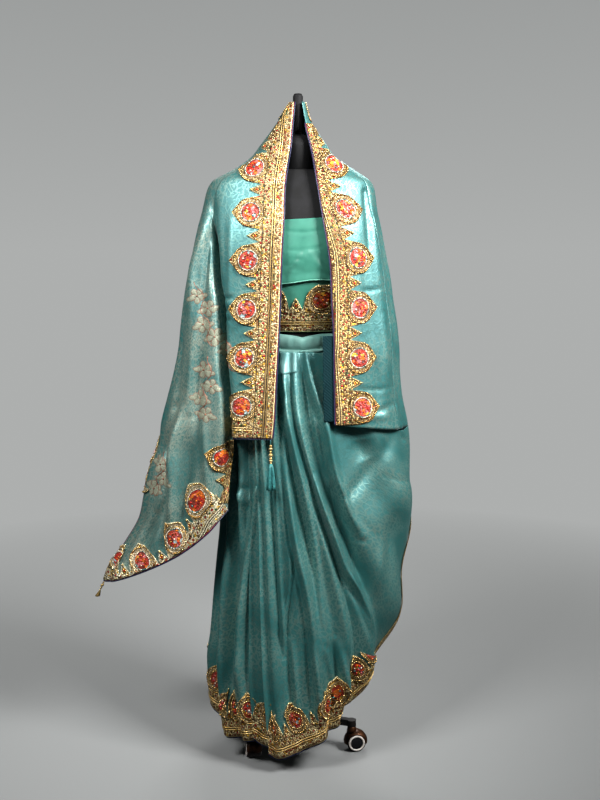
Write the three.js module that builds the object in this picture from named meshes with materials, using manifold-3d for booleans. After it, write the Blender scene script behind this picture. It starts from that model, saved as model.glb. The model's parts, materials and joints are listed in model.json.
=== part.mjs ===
// Silk saree draped on a limbless dress form, whose tripod stand runs on three hooded ball casters.
// Millimetres, +Z up, the front faces -Y. Pieces are made about the form's own axis (X = Y = 0) with
// the floor at Z = 0, and the finished group is then moved so that its box stands over the origin.
import * as THREE from 'three';
import { mergeVertices } from 'three/addons/utils/BufferGeometryUtils.js';
import Module from 'manifold-3d';

const wasm = await Module();
wasm.setup();

// ---------------------------------------------------------------- driving dimensions

const CLOTH = 1.5; // thickness of the silk as built
const BORDER = 1.2; // thickness of an embroidered border band
const WRAP_SIDES = 24; // sides of the form and of what is wrapped round it
const SEAM = 0.3; // gap left between neighbouring pieces
const LAYER = 9; // spacing of the pleats that lie on each other
const TUCK = 4.4; // the same spacing where they are tucked in at the waist
const SQUARENESS = 2.2; // exponent of the rounded plan sections, 2 is an ellipse

const CLOTH_TOP = 1598; // upper edge of the cloth behind the finial
const WAIST_Z = 1015; // where the skirt hangs from
const COWL_SEAM_Z = 828; // where the back drape turns into the hip cowl
const PANEL_HEM_Z = 820; // level bottom edge of the left front panel
const BORDER_STEPS = [22, 45, 82, 118]; // border columns measured in from an opening edge
const HEM_STEPS = [0, 45, 110]; // hem rows measured up from the edge

const FINIAL_TOP = 1620;
const NECK_RADIUS = 42;
const FINIAL_RADIUS = 12;

const TRIPOD_REACH = 144; // from the pole's axis to a caster's swivel axis
const LEG_ANGLES = { left: -50, right: 70, back: 190 }; // degrees from the front, + toward +X
const CASTER_TURNS = { left: 100, right: 8, back: 200 }; // heading of each hood at rest
const WHEEL_RADIUS = 24;
const WHEEL_SIDES = 20;
const HOOD_RADIUS = 30;
const CASTER_TRAIL = 10;
const RUNNING_GAP = 0.4;
const LEG_BOTTOM = 64;
const LEG_HEIGHT = 16;
const LEG_WIDTH = 15;

// A border band lies just clear of the cloth that it is sewn to.
const BAND = { thickness: BORDER, lift: CLOTH / 2 + BORDER / 2 + SEAM };

// ---------------------------------------------------------------- tables

/** Rows with named columns; the first column is the position that the rows are sorted by. */
function table(columns, rows) {
  return rows.map((row) => Object.fromEntries(columns.map((name, i) => [name, row[i]])));
}

/** A column's value at a position, on a smooth curve through the rows. */
function valueAt(rows, column, at) {
  const key = Object.keys(rows[0])[0];
  const last = rows.length - 1;
  if (at <= rows[0][key]) return rows[0][column];
  if (at >= rows[last][key]) return rows[last][column];
  let i = 0;
  while (at > rows[i + 1][key]) i += 1;
  const slope = (k) => {
    const before = rows[Math.max(k - 1, 0)];
    const after = rows[Math.min(k + 1, last)];
    return (after[column] - before[column]) / (after[key] - before[key]);
  };
  const width = rows[i + 1][key] - rows[i][key];
  const t = (at - rows[i][key]) / width;
  const rise = rows[i + 1][column] - rows[i][column];
  const a = slope(i) * width - rise;
  const b = rise - slope(i + 1) * width;
  return rows[i][column] + t * rise + t * (1 - t) * (a * (1 - t) + b * t);
}

// Half-width and half-depth of the form at each height.
const FORM = table(['z', 'width', 'depth'], [
  [700, 158, 103], [760, 170, 110], [830, 174, 114], [920, 156, 103], [1025, 120, 90],
  [1100, 128, 98], [1180, 142, 111], [1230, 149, 117], [1300, 158, 107], [1365, 168, 88],
  [1398, 160, 72], [1424, 114, 60], [1440, 60, 52],
]);

// The cape: the stretch over both shoulders. Left and right are its reach to either side, front
// and back its reach along Y, valley the place of the deep fold beside the left panel as a share
// of the left reach, and depth how deep that fold is.
const CAPE = table(['z', 'left', 'right', 'front', 'back', 'valley', 'depth'], [
  [430, 489, 262, 148, 150, 0.36, 20], [470, 473, 264, 154, 160, 0.37, 22],
  [530, 432, 267, 158, 170, 0.40, 26], [590, 397, 272, 162, 176, 0.43, 30],
  [650, 383, 276, 165, 180, 0.45, 34], [715, 368, 278, 166, 182, 0.46, 40],
  [775, 344, 275, 168, 182, 0.48, 46], [835, 336, 269, 168, 180, 0.49, 50],
  [895, 320, 256, 167, 176, 0.52, 50], [955, 304, 249, 165, 172, 0.57, 48],
  [1012, 292, 247, 161, 168, 0.61, 46], [1071, 285, 241, 156, 163, 0.63, 44],
  [1130, 277, 231, 151, 158, 0.66, 42], [1187, 267, 223, 146, 154, 0.72, 36],
  [1245, 254, 211, 141, 150, 0.77, 28], [1302, 241, 200, 131, 144, 0.83, 16],
  [1345, 229, 190, 117, 132, 0.88, 6], [1387, 219, 184, 99, 115, 0.88, 0],
  [1402, 213, 180, 92, 106, 0.88, 0], [1416, 202, 171, 87, 99, 0.88, 0],
  [1430, 177, 151, 81, 90, 0.88, 0], [1444, 149, 129, 75, 82, 0.88, 0],
  [1472, 110, 88, 64, 68, 0.88, 0], [1499, 89, 68, 56, 57, 0.88, 0],
  [1527, 67, 48, 46, 46, 0.88, 0], [1555, 47, 30, 33, 32, 0.88, 0],
  [1598, 18, 17, 18, FINIAL_RADIUS + 1.3, 0.88, 0],
]);

// The two edges of the front opening.
const OPENING = table(['z', 'left', 'right'], [
  [820, -60, 88], [860, -56, 88], [955, -51, 86], [1047, -46, 85], [1139, -42, 80],
  [1229, -39, 75], [1322, -34, 60], [1405, -31, 47], [1487, -19, 33], [1534, -15, 21],
  [1598, -9, 9],
]);

// Soft folds of the cape, found by their heading in degrees at shoulder and at hem level.
const CAPE_FOLDS = table(['shoulder', 'hem', 'height', 'width'], [
  [-72, -66, 9, 6], [-79, -76, -9, 4], [-112, -106, 12, 7], [-130, -124, -14, 7],
  [-146, -142, 12, 7], [-163, -161, -13, 7], [179, 178, 13, 8], [161, 158, -14, 7],
  [145, 141, 13, 7], [128, 124, -11, 6], [104, 101, 6, 6], [74, 74, -6, 5], [45, 50, 4, 6],
]);

// Lower edge of the cape beyond the left panel, by heading: the pallu's end, then the long edge
// that crosses the back and runs into the top of the hip cowl.
const PALLU_END = table(['share', 'z'], [
  [0, 690], [0.12, 610], [0.3, 545], [0.55, 484], [0.8, 446], [1, 433],
]);
const BACK_EDGE = table(['turn', 'z'], [
  [0, 668], [30, 715], [60, 790], [92, 840], [125, 866], [148, 838], [160, COWL_SEAM_Z], [210, COWL_SEAM_Z],
]);

// The skirt's inner wrap.
const SKIRT = table(['z', 'left', 'right', 'front', 'back'], [
  [40, 200, 104, 165, 190], [130, 216, 108, 163, 184], [240, 224, 122, 158, 172],
  [310, 214, 130, 153, 164], [440, 201, 148, 145, 154], [560, 188, 164, 136, 145],
  [700, 186, 180, 127, 134], [830, 184, 183, 124, 128], [930, 166, 166, 112, 114],
  [1015, 127.5, 127.5, 96, 96],
]);
const SKIRT_HEM = table(['turn', 'z'], [
  [-180, 84], [-140, 96], [-110, 112], [-90, 134], [-72, 112], [-58, 72], [-45, 66], [-30, 74],
  [0, 84], [30, 100], [52, 150], [70, 232], [90, 268], [115, 208], [145, 120], [180, 84],
]);
const SKIRT_FOLDS = table(['waist', 'hem', 'height', 'width'], [
  [-48, -34, 12, 5], [-58, -43, -13, 5], [-66, -53, 13, 5], [-76, -64, -15, 5],
  [-88, -76, 9, 6], [-98, -89, -9, 5], [-110, -103, 12, 6], [-124, -117, -12, 6],
  [-138, -132, 11, 6], [-152, -147, -12, 6], [-166, -163, 12, 6], [179, 179, -11, 6],
  [164, 163, 12, 6], [149, 146, -12, 6], [134, 130, 11, 6], [118, 113, -10, 6],
]);

// The outer stretch, from the front pleat's left edge round to the cowl's last fold behind the
// right hip. A row is one ridge or valley: where it starts, where it meets the hem, how late it
// sweeps sideways and how far it stands proud.
const OUTER = table(['z', 'left', 'right', 'front'], [
  [40, 212, 132, 184], [90, 216, 131, 182], [125, 218, 134, 180], [157, 220, 157, 179],
  [215, 224, 193, 176], [275, 222, 221, 172], [330, 218, 240, 168], [390, 214, 254, 165],
  [500, 206, 266, 158], [590, 198, 272, 152], [713, 196, 278, 146], [775, 196, 275, 144],
  [845, 194, 268, 142], [880, 188, 256, 136], [940, 178, 205, 126], [1015, 137, 143, 105.5],
]);
const COWL_TOP = COWL_SEAM_Z - 2;
const FAN = table(['line', 'topTurn', 'topZ', 'hemTurn', 'hemZ', 'sweep', 'height'], [
  [0, -32, 1015, -17, 54, 1, 4], [1, -29, 1015, -13, 42, 1, -3],
  [2, -27, 1015, -8, 44, 1.1, 5], [3, -25, 1015, 4, 52, 1.1, -6],
  [4, -23, 1015, 24, 66, 1.1, 10], [5, -17, 1015, 34, 70, 1.2, -8],
  [6, -11, 1015, 44, 76, 1.3, 7], [7, -6, 1015, 50, 112, 1.5, -9],
  [8, -2, 1015, 64, 182, 2.0, 10], [9, 3, 1015, 72, 246, 2.3, -15],
  [10, 8, 1015, 80, 345, 2.6, 12], [11, 22, 1000, 86, 450, 2.4, -11],
  [12, 36, 900, 92, 560, 1.8, 14], [13, 60, COWL_TOP, 100, 650, 1.3, -8],
  [14, 80, COWL_TOP, 108, 730, 1, 5], [15, 100, COWL_TOP, 118, 790, 1, -3],
]);
const PLEATS_END_LINE = 7; // the valley that parts the front pleats from the hip cowl
const UNDER_PLEAT = table(['line', 'topTurn', 'topZ', 'hemTurn', 'hemZ', 'sweep', 'height'], [
  [0, -38, 1012, -29, 84, 1, 3], [1, -35, 1012, -24, 70, 1, -3], [2, -31, 1012, -16, 66, 1, 1],
  [3, -27, 1012, -9, 68, 1, 0],
]);

// ---------------------------------------------------------------- surfaces

const radians = (degrees) => (degrees * Math.PI) / 180;
const degrees = (angle) => (angle * 180) / Math.PI;
const mix = (a, b, t) => a + (b - a) * t;

function smoothStep(from, to, at) {
  const t = Math.min(Math.max((at - from) / (to - from), 0), 1);
  return t * t * (3 - 2 * t);
}

/** A soft bump or trough, 1 at its middle. */
const bump = (distance, width) => Math.exp(-((distance / width) ** 2));

/** Point of a rounded plan section at a heading, moved out along the section's normal. */
function sectionPoint(reach, turn, z, out) {
  const s = Math.sin(radians(turn));
  const c = Math.cos(radians(turn));
  const width = s < 0 ? reach.left : reach.right;
  const depth = c > 0 ? reach.front : reach.back;
  const x = Math.sign(s) * Math.abs(s) ** (2 / SQUARENESS);
  const y = -Math.sign(c) * Math.abs(c) ** (2 / SQUARENESS);
  const normal = new THREE.Vector2(
    (Math.sign(x) * Math.abs(x) ** (SQUARENESS - 1)) / width,
    (Math.sign(y) * Math.abs(y) ** (SQUARENESS - 1)) / depth,
  ).normalize();
  return new THREE.Vector3(x * width + normal.x * out, y * depth + normal.y * out, z);
}

/** Heading at which a section reaches a given share of its half-width. */
function turnAtShare(share) {
  return degrees(Math.asin(Math.min(Math.abs(share), 1) ** (SQUARENESS / 2))) * Math.sign(share);
}

function reachAt(rows, z) {
  const reach = {};
  for (const side of ['left', 'right', 'front', 'back']) {
    if (side in rows[0]) reach[side] = valueAt(rows, side, z);
  }
  return reach;
}

/** Relief of a set of folds at a heading; they lean from their upper to their lower heading. */
function foldRelief(folds, topKey, turn, drop) {
  let relief = 0;
  for (const fold of folds) {
    const middle = mix(fold[topKey], fold.hem, drop);
    const away = ((turn - middle + 540) % 360) - 180;
    relief += fold.height * bump(away, fold.width);
  }
  return relief;
}

function capePoint(turn, z) {
  const reach = reachAt(CAPE, z);
  const drop = smoothStep(1400, 800, z);
  let out = foldRelief(CAPE_FOLDS, 'shoulder', turn, drop) * smoothStep(1430, 1050, z);
  if (turn < 0) {
    const plain = sectionPoint(reach, turn, z, 0);
    const valleyX = -valueAt(CAPE, 'valley', z) * reach.left;
    const onFront = smoothStep(-100, -80, turn);
    out -= valueAt(CAPE, 'depth', z) * bump(plain.x - valleyX, 17) * onFront;
  }
  return sectionPoint(reach, turn, z, out);
}

function skirtPoint(turn, share) {
  const hem = valueAt(SKIRT_HEM, 'z', turn);
  const z = mix(WAIST_Z, hem, share);
  const relief = foldRelief(SKIRT_FOLDS, 'waist', turn, share);
  return sectionPoint(reachAt(SKIRT, z), turn, z, relief * (0.05 + 0.95 * smoothStep(0, 0.6, share)));
}

/** Point on a fan line, which may lie between two rows of its table, some layers further in. */
function fanPoint(rows, line, share, layers) {
  const z = mix(valueAt(rows, 'topZ', line), valueAt(rows, 'hemZ', line), share);
  const swept = share ** valueAt(rows, 'sweep', line);
  const turn = mix(valueAt(rows, 'topTurn', line), valueAt(rows, 'hemTurn', line), swept);
  const reach = reachAt(OUTER, z);
  reach.back = valueAt(CAPE, 'back', z);
  const relief = valueAt(rows, 'height', line) * (0.1 + 0.9 * smoothStep(0, 0.45, share));
  const out = -layers * mix(TUCK, LAYER, smoothStep(0, 0.3, share));
  const calm = 1 - smoothStep(70, 95, turn) * smoothStep(740, COWL_SEAM_Z, z);
  return sectionPoint(reach, turn, z, relief * calm + out);
}

/**
 * Shares along a line of a given length, from its top to steps measured up from its hem. The
 * steps shrink on a line that is too short to hold them.
 */
function rowShares(length, count) {
  const steps = HEM_STEPS.map((step) => Math.min(step / length, (0.7 * step) / HEM_STEPS.at(-1)));
  const rest = 1 - steps.at(-1);
  const shares = [...Array(count + 1).keys()].map((i) => (rest * i) / count);
  return [...shares, ...steps.slice(0, -1).reverse().map((step) => 1 - step)];
}

// ---------------------------------------------------------------- cloth solids

/** A surface's point with its outward normal, found from points close by on both sides. */
function surfacePoint(surface, across, down, acrossStep, downStep) {
  const toSide = surface(across + acrossStep, down).sub(surface(across - acrossStep, down));
  const toHem = surface(across, down + downStep).sub(surface(across, down - downStep));
  return { at: surface(across, down), normal: toHem.cross(toSide).normalize() };
}

/**
 * A wall of cloth on a grid whose columns run from left to right, seen from outside, and down.
 * keep(column, row) says which cells it covers: all of them if it isn't given.
 */
function clothWall(grid, { thickness = CLOTH, lift = 0, keep = () => true, closed = false } = {}) {
  const columns = grid.length;
  const rows = grid[0].length;
  const positions = [];
  const index = [];
  for (const side of [1, -1]) {
    for (let i = 0; i < columns; i += 1) {
      for (let j = 0; j < rows; j += 1) {
        const { at, normal } = grid[i][j];
        const point = at.clone().addScaledVector(normal, lift + (side * thickness) / 2);
        positions.push(point.x, point.y, point.z);
      }
    }
  }
  const count = columns * rows;
  const edges = new Map();
  const addTriangle = (a, b, c) => {
    index.push(a, b, c, a + count, c + count, b + count);
    for (const [from, to] of [[a, b], [b, c], [c, a]]) edges.set(`${from}_${to}`, [from, to]);
  };
  const cells = closed ? columns : columns - 1;
  for (let i = 0; i < cells; i += 1) {
    const next = (i + 1) % columns;
    for (let j = 0; j < rows - 1; j += 1) {
      if (!keep(i, j)) continue;
      const a = i * rows + j;
      const b = next * rows + j;
      const c = next * rows + j + 1;
      const d = i * rows + j + 1;
      addTriangle(a, d, c);
      addTriangle(a, c, b);
    }
  }
  for (const [from, to] of edges.values()) {
    if (edges.has(`${to}_${from}`)) continue;
    index.push(to, from, from + count, to, from + count, to + count);
  }
  const geometry = new THREE.BufferGeometry();
  geometry.setAttribute('position', new THREE.Float32BufferAttribute(positions, 3));
  geometry.setIndex(index);
  return geometry;
}

/** A closed solid through rings of equal point counts, from its bottom ring to its top ring. */
function ringSolid(rings) {
  const sides = rings[0].length;
  const positions = [];
  const index = [];
  for (const ring of rings) for (const point of ring) positions.push(point.x, point.y, point.z);
  for (let r = 0; r < rings.length - 1; r += 1) {
    for (let i = 0; i < sides; i += 1) {
      const a = r * sides + i;
      const b = r * sides + ((i + 1) % sides);
      index.push(a, b, b + sides, a, b + sides, a + sides);
    }
  }
  for (const [ring, flip] of [[0, true], [rings.length - 1, false]]) {
    const middle = positions.length / 3;
    const centre = rings[ring].reduce((sum, p) => sum.add(p), new THREE.Vector3());
    centre.divideScalar(sides);
    positions.push(centre.x, centre.y, centre.z);
    for (let i = 0; i < sides; i += 1) {
      const a = ring * sides + i;
      const b = ring * sides + ((i + 1) % sides);
      index.push(middle, flip ? b : a, flip ? a : b);
    }
  }
  const geometry = new THREE.BufferGeometry();
  geometry.setAttribute('position', new THREE.Float32BufferAttribute(positions, 3));
  geometry.setIndex(index);
  return geometry;
}

// ---------------------------------------------------------------- booleans

function toSolid(geometry) {
  const bare = geometry.clone();
  bare.deleteAttribute('normal');
  bare.deleteAttribute('uv');
  const merged = mergeVertices(bare, 1e-4);
  return new wasm.Manifold(new wasm.Mesh({
    numProp: 3,
    vertProperties: new Float32Array(merged.attributes.position.array),
    triVerts: new Uint32Array(merged.index.array),
  }));
}

function toGeometry(solid) {
  const mesh = solid.getMesh();
  const geometry = new THREE.BufferGeometry();
  geometry.setAttribute('position', new THREE.BufferAttribute(mesh.vertProperties, 3));
  geometry.setIndex(new THREE.BufferAttribute(mesh.triVerts, 1));
  return geometry;
}

// ---------------------------------------------------------------- materials and nodes

function finish(color, roughness, metalness = 0) {
  return new THREE.MeshStandardMaterial({ color, roughness, metalness, side: THREE.FrontSide });
}
const silk = () => finish(0x1f7f7c, 0.45);
const paleSilk = () => finish(0x4fa9a8, 0.45);
const satin = () => finish(0x2f9c80, 0.35);
const goldWork = () => finish(0xb8862f, 0.4, 0.5);
const navy = () => finish(0x1c1f3a, 0.6);
const blackCover = () => finish(0x0b0b0d, 0.75);
const darkMetal = () => finish(0x241a14, 0.4, 0.6);
const bronze = () => finish(0x3a2415, 0.35, 0.7);
const wheelPlastic = () => finish(0x141416, 0.15);

const model = new THREE.Group();

function addNode(name, geometry, material, parent = model) {
  const mesh = new THREE.Mesh(geometry, material);
  mesh.name = name;
  parent.add(mesh);
  return mesh;
}

// ---------------------------------------------------------------- dress form and stand

/** Section of the form at a height. */
function formReach(z) {
  const width = valueAt(FORM, 'width', z);
  const depth = valueAt(FORM, 'depth', z);
  return { left: width, right: width, front: depth, back: depth };
}

function buildForm() {
  const rings = [];
  const levels = [...Array(16).keys()].map((k) => mix(FORM[0].z, 1365, k / 15));
  for (const z of [...levels, 1398, 1412, 1424, 1432, FORM[FORM.length - 1].z]) {
    const ring = [];
    for (let i = 0; i < WRAP_SIDES; i += 1) {
      ring.push(sectionPoint(formReach(z), (360 * i) / WRAP_SIDES, z, 0));
    }
    rings.push(ring);
  }
  addNode('form_torso', ringSolid(rings), blackCover());

  // The neck carries a domed cap and a slim finial with a flat top.
  const neckBase = FORM[FORM.length - 1].z + SEAM;
  const profile = [
    [0, neckBase], [NECK_RADIUS, neckBase], [NECK_RADIUS, 1500], [36, 1514], [24, 1526],
    [FINIAL_RADIUS, 1532], [FINIAL_RADIUS, FINIAL_TOP - 6], [FINIAL_RADIUS - 4, FINIAL_TOP],
    [0, FINIAL_TOP],
  ].map(([radius, z]) => new THREE.Vector2(radius, z));
  const neck = addNode('form_neck', new THREE.LatheGeometry(profile, 20), blackCover());
  neck.rotation.x = Math.PI / 2;
}

/** A lathe about Z; its profile is given as radius and height pairs. */
function turned(profile, sides) {
  const points = profile.map(([radius, height]) => new THREE.Vector2(radius, height));
  return new THREE.LatheGeometry(points, sides).rotateX(Math.PI / 2);
}

function placeOnLeg(object, angle, distance) {
  object.position.x = Math.sin(radians(angle)) * distance;
  object.position.y = -Math.cos(radians(angle)) * distance;
  return object;
}

function buildStand() {
  const poleRadius = 12.5;
  const hubRadius = 30;
  const formBase = FORM[0].z;
  const hubTop = LEG_BOTTOM + LEG_HEIGHT + 14;
  addNode('stand_pole', turned([
    [0, hubTop + SEAM], [poleRadius, hubTop + SEAM], [poleRadius, formBase - 14],
    [34, formBase - 14], [34, formBase - SEAM], [0, formBase - SEAM],
  ], 16), darkMetal());
  addNode('stand_hub', turned([
    [0, LEG_BOTTOM - 6], [hubRadius - 4, LEG_BOTTOM - 6], [hubRadius, LEG_BOTTOM - 2],
    [hubRadius, hubTop - 6], [hubRadius - 8, hubTop], [0, hubTop],
  ], 20), darkMetal());

  const pinRadius = 5;
  const legStart = hubRadius + SEAM + 0.2;
  const legLength = TRIPOD_REACH - legStart;
  for (const [place, angle] of Object.entries(LEG_ANGLES)) {
    // A flat bar with a round end, and the pin that its caster swivels on.
    const bar = new THREE.BoxGeometry(LEG_WIDTH, legLength, LEG_HEIGHT);
    bar.translate(0, -(legStart + legLength / 2), LEG_BOTTOM + LEG_HEIGHT / 2);
    const end = new THREE.CylinderGeometry(11, 11, LEG_HEIGHT, 20).rotateX(Math.PI / 2);
    end.translate(0, -TRIPOD_REACH, LEG_BOTTOM + LEG_HEIGHT / 2);
    const pin = new THREE.CylinderGeometry(pinRadius, pinRadius, 13, 16).rotateX(Math.PI / 2);
    pin.translate(0, -TRIPOD_REACH, LEG_BOTTOM - 5.5);
    const leg = toSolid(bar).add(toSolid(end)).add(toSolid(pin));
    const node = addNode(`leg_${place}`, toGeometry(leg), darkMetal());
    node.rotation.z = radians(angle);
    buildCaster(place, angle, pinRadius);
  }
}

/** A hooded ball caster: the hood swivels on the leg's pin and the wheel rolls on its axle. */
function buildCaster(place, angle, pinRadius) {
  const axleZ = WHEEL_RADIUS * Math.cos(Math.PI / WHEEL_SIDES);
  const axleRadius = 4;
  const hoodTop = LEG_BOTTOM - RUNNING_GAP;
  const swivel = new THREE.Group();
  placeOnLeg(swivel, angle, TRIPOD_REACH);
  swivel.rotation.z = radians(CASTER_TURNS[place]);
  model.add(swivel);

  // In the swivel's frame the axle lies along Y and the wheel trails by CASTER_TRAIL along +X.
  const dome = (radius) => new THREE.SphereGeometry(radius, 14, 8).translate(CASTER_TRAIL, 0, axleZ);
  const opening = new THREE.BoxGeometry(90, 90, 60).rotateY(radians(-24));
  opening.translate(CASTER_TRAIL + 10, 0, axleZ - 24);
  const boss = new THREE.CylinderGeometry(11, 13, 16, 20).rotateX(Math.PI / 2);
  boss.translate(0, 0, hoodTop - 8);
  const bore = new THREE.CylinderGeometry(pinRadius + RUNNING_GAP, pinRadius + RUNNING_GAP, 40, 16);
  bore.rotateX(Math.PI / 2).translate(0, 0, hoodTop);
  const axle = new THREE.CylinderGeometry(axleRadius, axleRadius, 2 * HOOD_RADIUS - 8, 12);
  axle.translate(CASTER_TRAIL, 0, axleZ);
  const arms = new THREE.BoxGeometry(12, 2 * HOOD_RADIUS - 8, 26);
  arms.translate(CASTER_TRAIL, 0, axleZ + 9);
  const innerRadius = WHEEL_RADIUS + 2.4;
  const armed = toSolid(dome(HOOD_RADIUS)).subtract(toSolid(opening)).add(toSolid(arms));
  const hood = armed.add(toSolid(boss)).subtract(toSolid(dome(innerRadius)));
  const bored = hood.add(toSolid(axle)).subtract(toSolid(bore));
  addNode(`hood_${place}`, toGeometry(bored), bronze(), swivel);

  // The wheel is a ball with flat cheeks; one facet of its tread stands on the floor.
  const half = 17;
  const cheek = 15;
  const boreRadius = axleRadius + RUNNING_GAP;
  const rim = [
    [boreRadius, -half], [cheek, -half], [21, -11], [WHEEL_RADIUS, -5], [WHEEL_RADIUS, 5],
    [21, 11], [cheek, half], [boreRadius, half], [boreRadius, -half],
  ].map(([radius, side]) => new THREE.Vector2(radius, side));
  const wheel = new THREE.LatheGeometry(rim, WHEEL_SIDES).rotateY(Math.PI / WHEEL_SIDES);
  addNode(`wheel_${place}`, wheel, wheelPlastic(), swivel).position.set(CASTER_TRAIL, 0, axleZ);
}

// ---------------------------------------------------------------- under layers

/** Columns of a wrap that follows the form at a distance, through the given heights. */
function wrapGrid(distance, levels) {
  const surface = (turn, z) => sectionPoint(formReach(z), turn, z, distance);
  return [...Array(WRAP_SIDES).keys()].map((i) => {
    const turn = (360 * i) / WRAP_SIDES + 0.001;
    return levels.map((z) => surfacePoint(surface, turn, z, 1, -1));
  });
}

function buildUnderLayers() {
  const bandeauTop = 1323;
  const bandeauHem = 1062;
  const borderTop = 1092;
  const flapHem = 1177;
  const lower = wrapGrid(2.7, [bandeauTop - 4, 1275, 1230, flapHem, borderTop, bandeauHem]);
  addNode('bandeau_lower', clothWall(lower, { closed: true }), satin());
  const upper = wrapGrid(5.4, [bandeauTop, 1275, 1230, flapHem]);
  addNode('bandeau_upper', clothWall(upper, { closed: true }), satin());
  const onFront = (i) => i < 5 || i >= WRAP_SIDES - 5;
  addNode('bandeau_border', clothWall(lower, {
    ...BAND, closed: true, keep: (i, j) => onFront(i) && j === 4,
  }), goldWork());

  // The rolled waist edge of the wrapped cloth sits between the bandeau and the skirt.
  const roll = wrapGrid(7.3, [bandeauHem - 8, 1036, WAIST_Z + 1.3]);
  addNode('waist_roll', clothWall(roll, { closed: true, thickness: 9 }), paleSilk());
}

// ---------------------------------------------------------------- skirt

/** Keeps the hem band, with a scallop standing on two in every four columns. */
function hemBand(grid) {
  const rows = grid[0].length;
  return (i, j) => j === rows - 2 || (j === rows - 3 && (i % 4 === 1 || i % 4 === 2));
}

/** Rows of one line of a hanging stretch: even down to the hem band, then the band's own steps. */
function hangingColumn(surface, across, acrossStep, count) {
  let length = 0;
  for (let k = 0; k < 12; k += 1) {
    length += surface(across, k / 12).distanceTo(surface(across, (k + 1) / 12));
  }
  return rowShares(length, count).map((share) => surfacePoint(surface, across, share, acrossStep, 0.004));
}

function fanGrid(rows, from, to, step, layers) {
  const surface = (line, share) => fanPoint(rows, line, Math.max(share, 0), layers);
  const columns = Math.round((to - from) / step);
  return [...Array(columns + 1).keys()].map((i) => hangingColumn(surface, from + i * step, 0.05, 8));
}

/** Moves a grid's first or last column sideways within the cloth, to leave a seam's gap. */
function trimSeam(grid, end, gap = SEAM) {
  const edge = grid.at(end === 'first' ? 0 : -1);
  const beside = grid.at(end === 'first' ? 1 : -2);
  edge.forEach((point, j) => {
    const inward = beside[j].at.clone().sub(point.at).normalize();
    point.at.addScaledVector(inward, gap / 2 + 0.02);
  });
  return grid;
}

function addHemmed(name, borderName, grid, closed = false) {
  addNode(name, clothWall(grid, { closed }), silk());
  addNode(borderName, clothWall(grid, { ...BAND, closed, keep: hemBand(grid) }), goldWork());
}

function buildSkirt() {
  const sides = 48;
  const wrap = [...Array(sides).keys()].map((i) => (
    hangingColumn(skirtPoint, -180 + (360 * (i + 0.5)) / sides, 0.5, 6)));
  addHemmed('skirt_wrap', 'hem_border_wrap', wrap, true);
  addHemmed('pleat_under', 'hem_border_under', fanGrid(UNDER_PLEAT, 0, 3, 0.75, 1));
  const front = fanGrid(FAN, 0, PLEATS_END_LINE, 0.5, 0);
  addHemmed('pleat_front', 'hem_border_front', trimSeam(front, 'last'));
  const cowl = fanGrid(FAN, PLEATS_END_LINE, FAN.length - 1, 0.5, 0);
  addHemmed('hip_cowl', 'hem_border_cowl', trimSeam(cowl, 'first'));
}

// ---------------------------------------------------------------- cape

// Heights of the cape's rows over the neck and shoulders. Below the last of them the rows are
// spread down to each column's own hem, at half the spacing of the border's medallions.
const SHOULDER_ROWS = [CLOTH_TOP, 1547, 1497, 1455, 1424, 1398, 1345];
const DROP_SHARES = [1, 2, 3, 4, 5, 6, 7, 8].map((k) => k / 9).concat([0.93, 1]);
const BACK_START = 88; // heading of the long edge on the left, where the back drape starts
const CORNER_TURN = 63; // heading of the right panel's outer corner

function capeLevels(hem) {
  const from = SHOULDER_ROWS.at(-1);
  return [...SHOULDER_ROWS, ...DROP_SHARES.map((share) => mix(from, hem, share))];
}

const capeAt = (turn, z) => surfacePoint(capePoint, turn, z, 0.4, -0.5);

/** Heading of a front panel's point, given how far across the panel it lies. */
function panelTurn(side, across, farShare, z) {
  const reach = valueAt(CAPE, side, z);
  const start = Math.abs(valueAt(OPENING, side, z));
  const width = farShare * reach - start;
  const scale = Math.min(1, (0.88 * width) / BORDER_STEPS.at(-1));
  const distance = across <= BORDER_STEPS.at(-1)
    ? across * scale
    : mix(BORDER_STEPS.at(-1) * scale, width, across - BORDER_STEPS.at(-1) - 1);
  return turnAtShare((start + distance) / reach) * (side === 'left' ? -1 : 1);
}

/** Columns of a front panel from the opening's edge: border steps in mm, then shares of the rest. */
function panelGrid(side, shares, hemAt, farShareAt) {
  const steps = [0, ...BORDER_STEPS, ...shares.map((share) => BORDER_STEPS.at(-1) + 1 + share)];
  const grid = steps.map((across, i) => (
    capeLevels(hemAt(i / (steps.length - 1))).map((z) => (
      capeAt(panelTurn(side, across, farShareAt(z), z), z)))));
  return side === 'left' ? grid.reverse() : grid;
}

/** The stretch that hangs over the left arm's side, from the deep valley out to the long edge. */
function sleeveGrid() {
  const shares = [1, 0.92, 0.82, 0.71, 0.6, 0.49, 0.38, 0.28, 0.19, 0.11, 0.045, 0];
  return shares.map((share) => {
    // The lowest rows pass the left panel's hem level by the pallu's drop on this column.
    const drop = PALLU_END[0].z - PANEL_HEM_Z;
    const hem = valueAt(PALLU_END, 'z', share);
    const levels = capeLevels(hem - drop);
    for (const part of [0.35, 0.68, 1]) levels.push(hem - drop * (1 - part));
    return levels.map((z) => {
      const start = -turnAtShare(valueAt(CAPE, 'valley', z));
      return capeAt(mix(start, -BACK_START, share), z);
    });
  });
}

/** The stretch across the back, from the left long edge round to the right panel's corner. */
function backGrid() {
  const span = 360 - BACK_START - CORNER_TURN;
  const columns = 18;
  return [...Array(columns + 1).keys()].map((i) => {
    const turned = span * (1 - i / columns);
    return capeLevels(valueAt(BACK_EDGE, 'z', turned)).map((z) => capeAt(-BACK_START - turned, z));
  });
}

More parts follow.
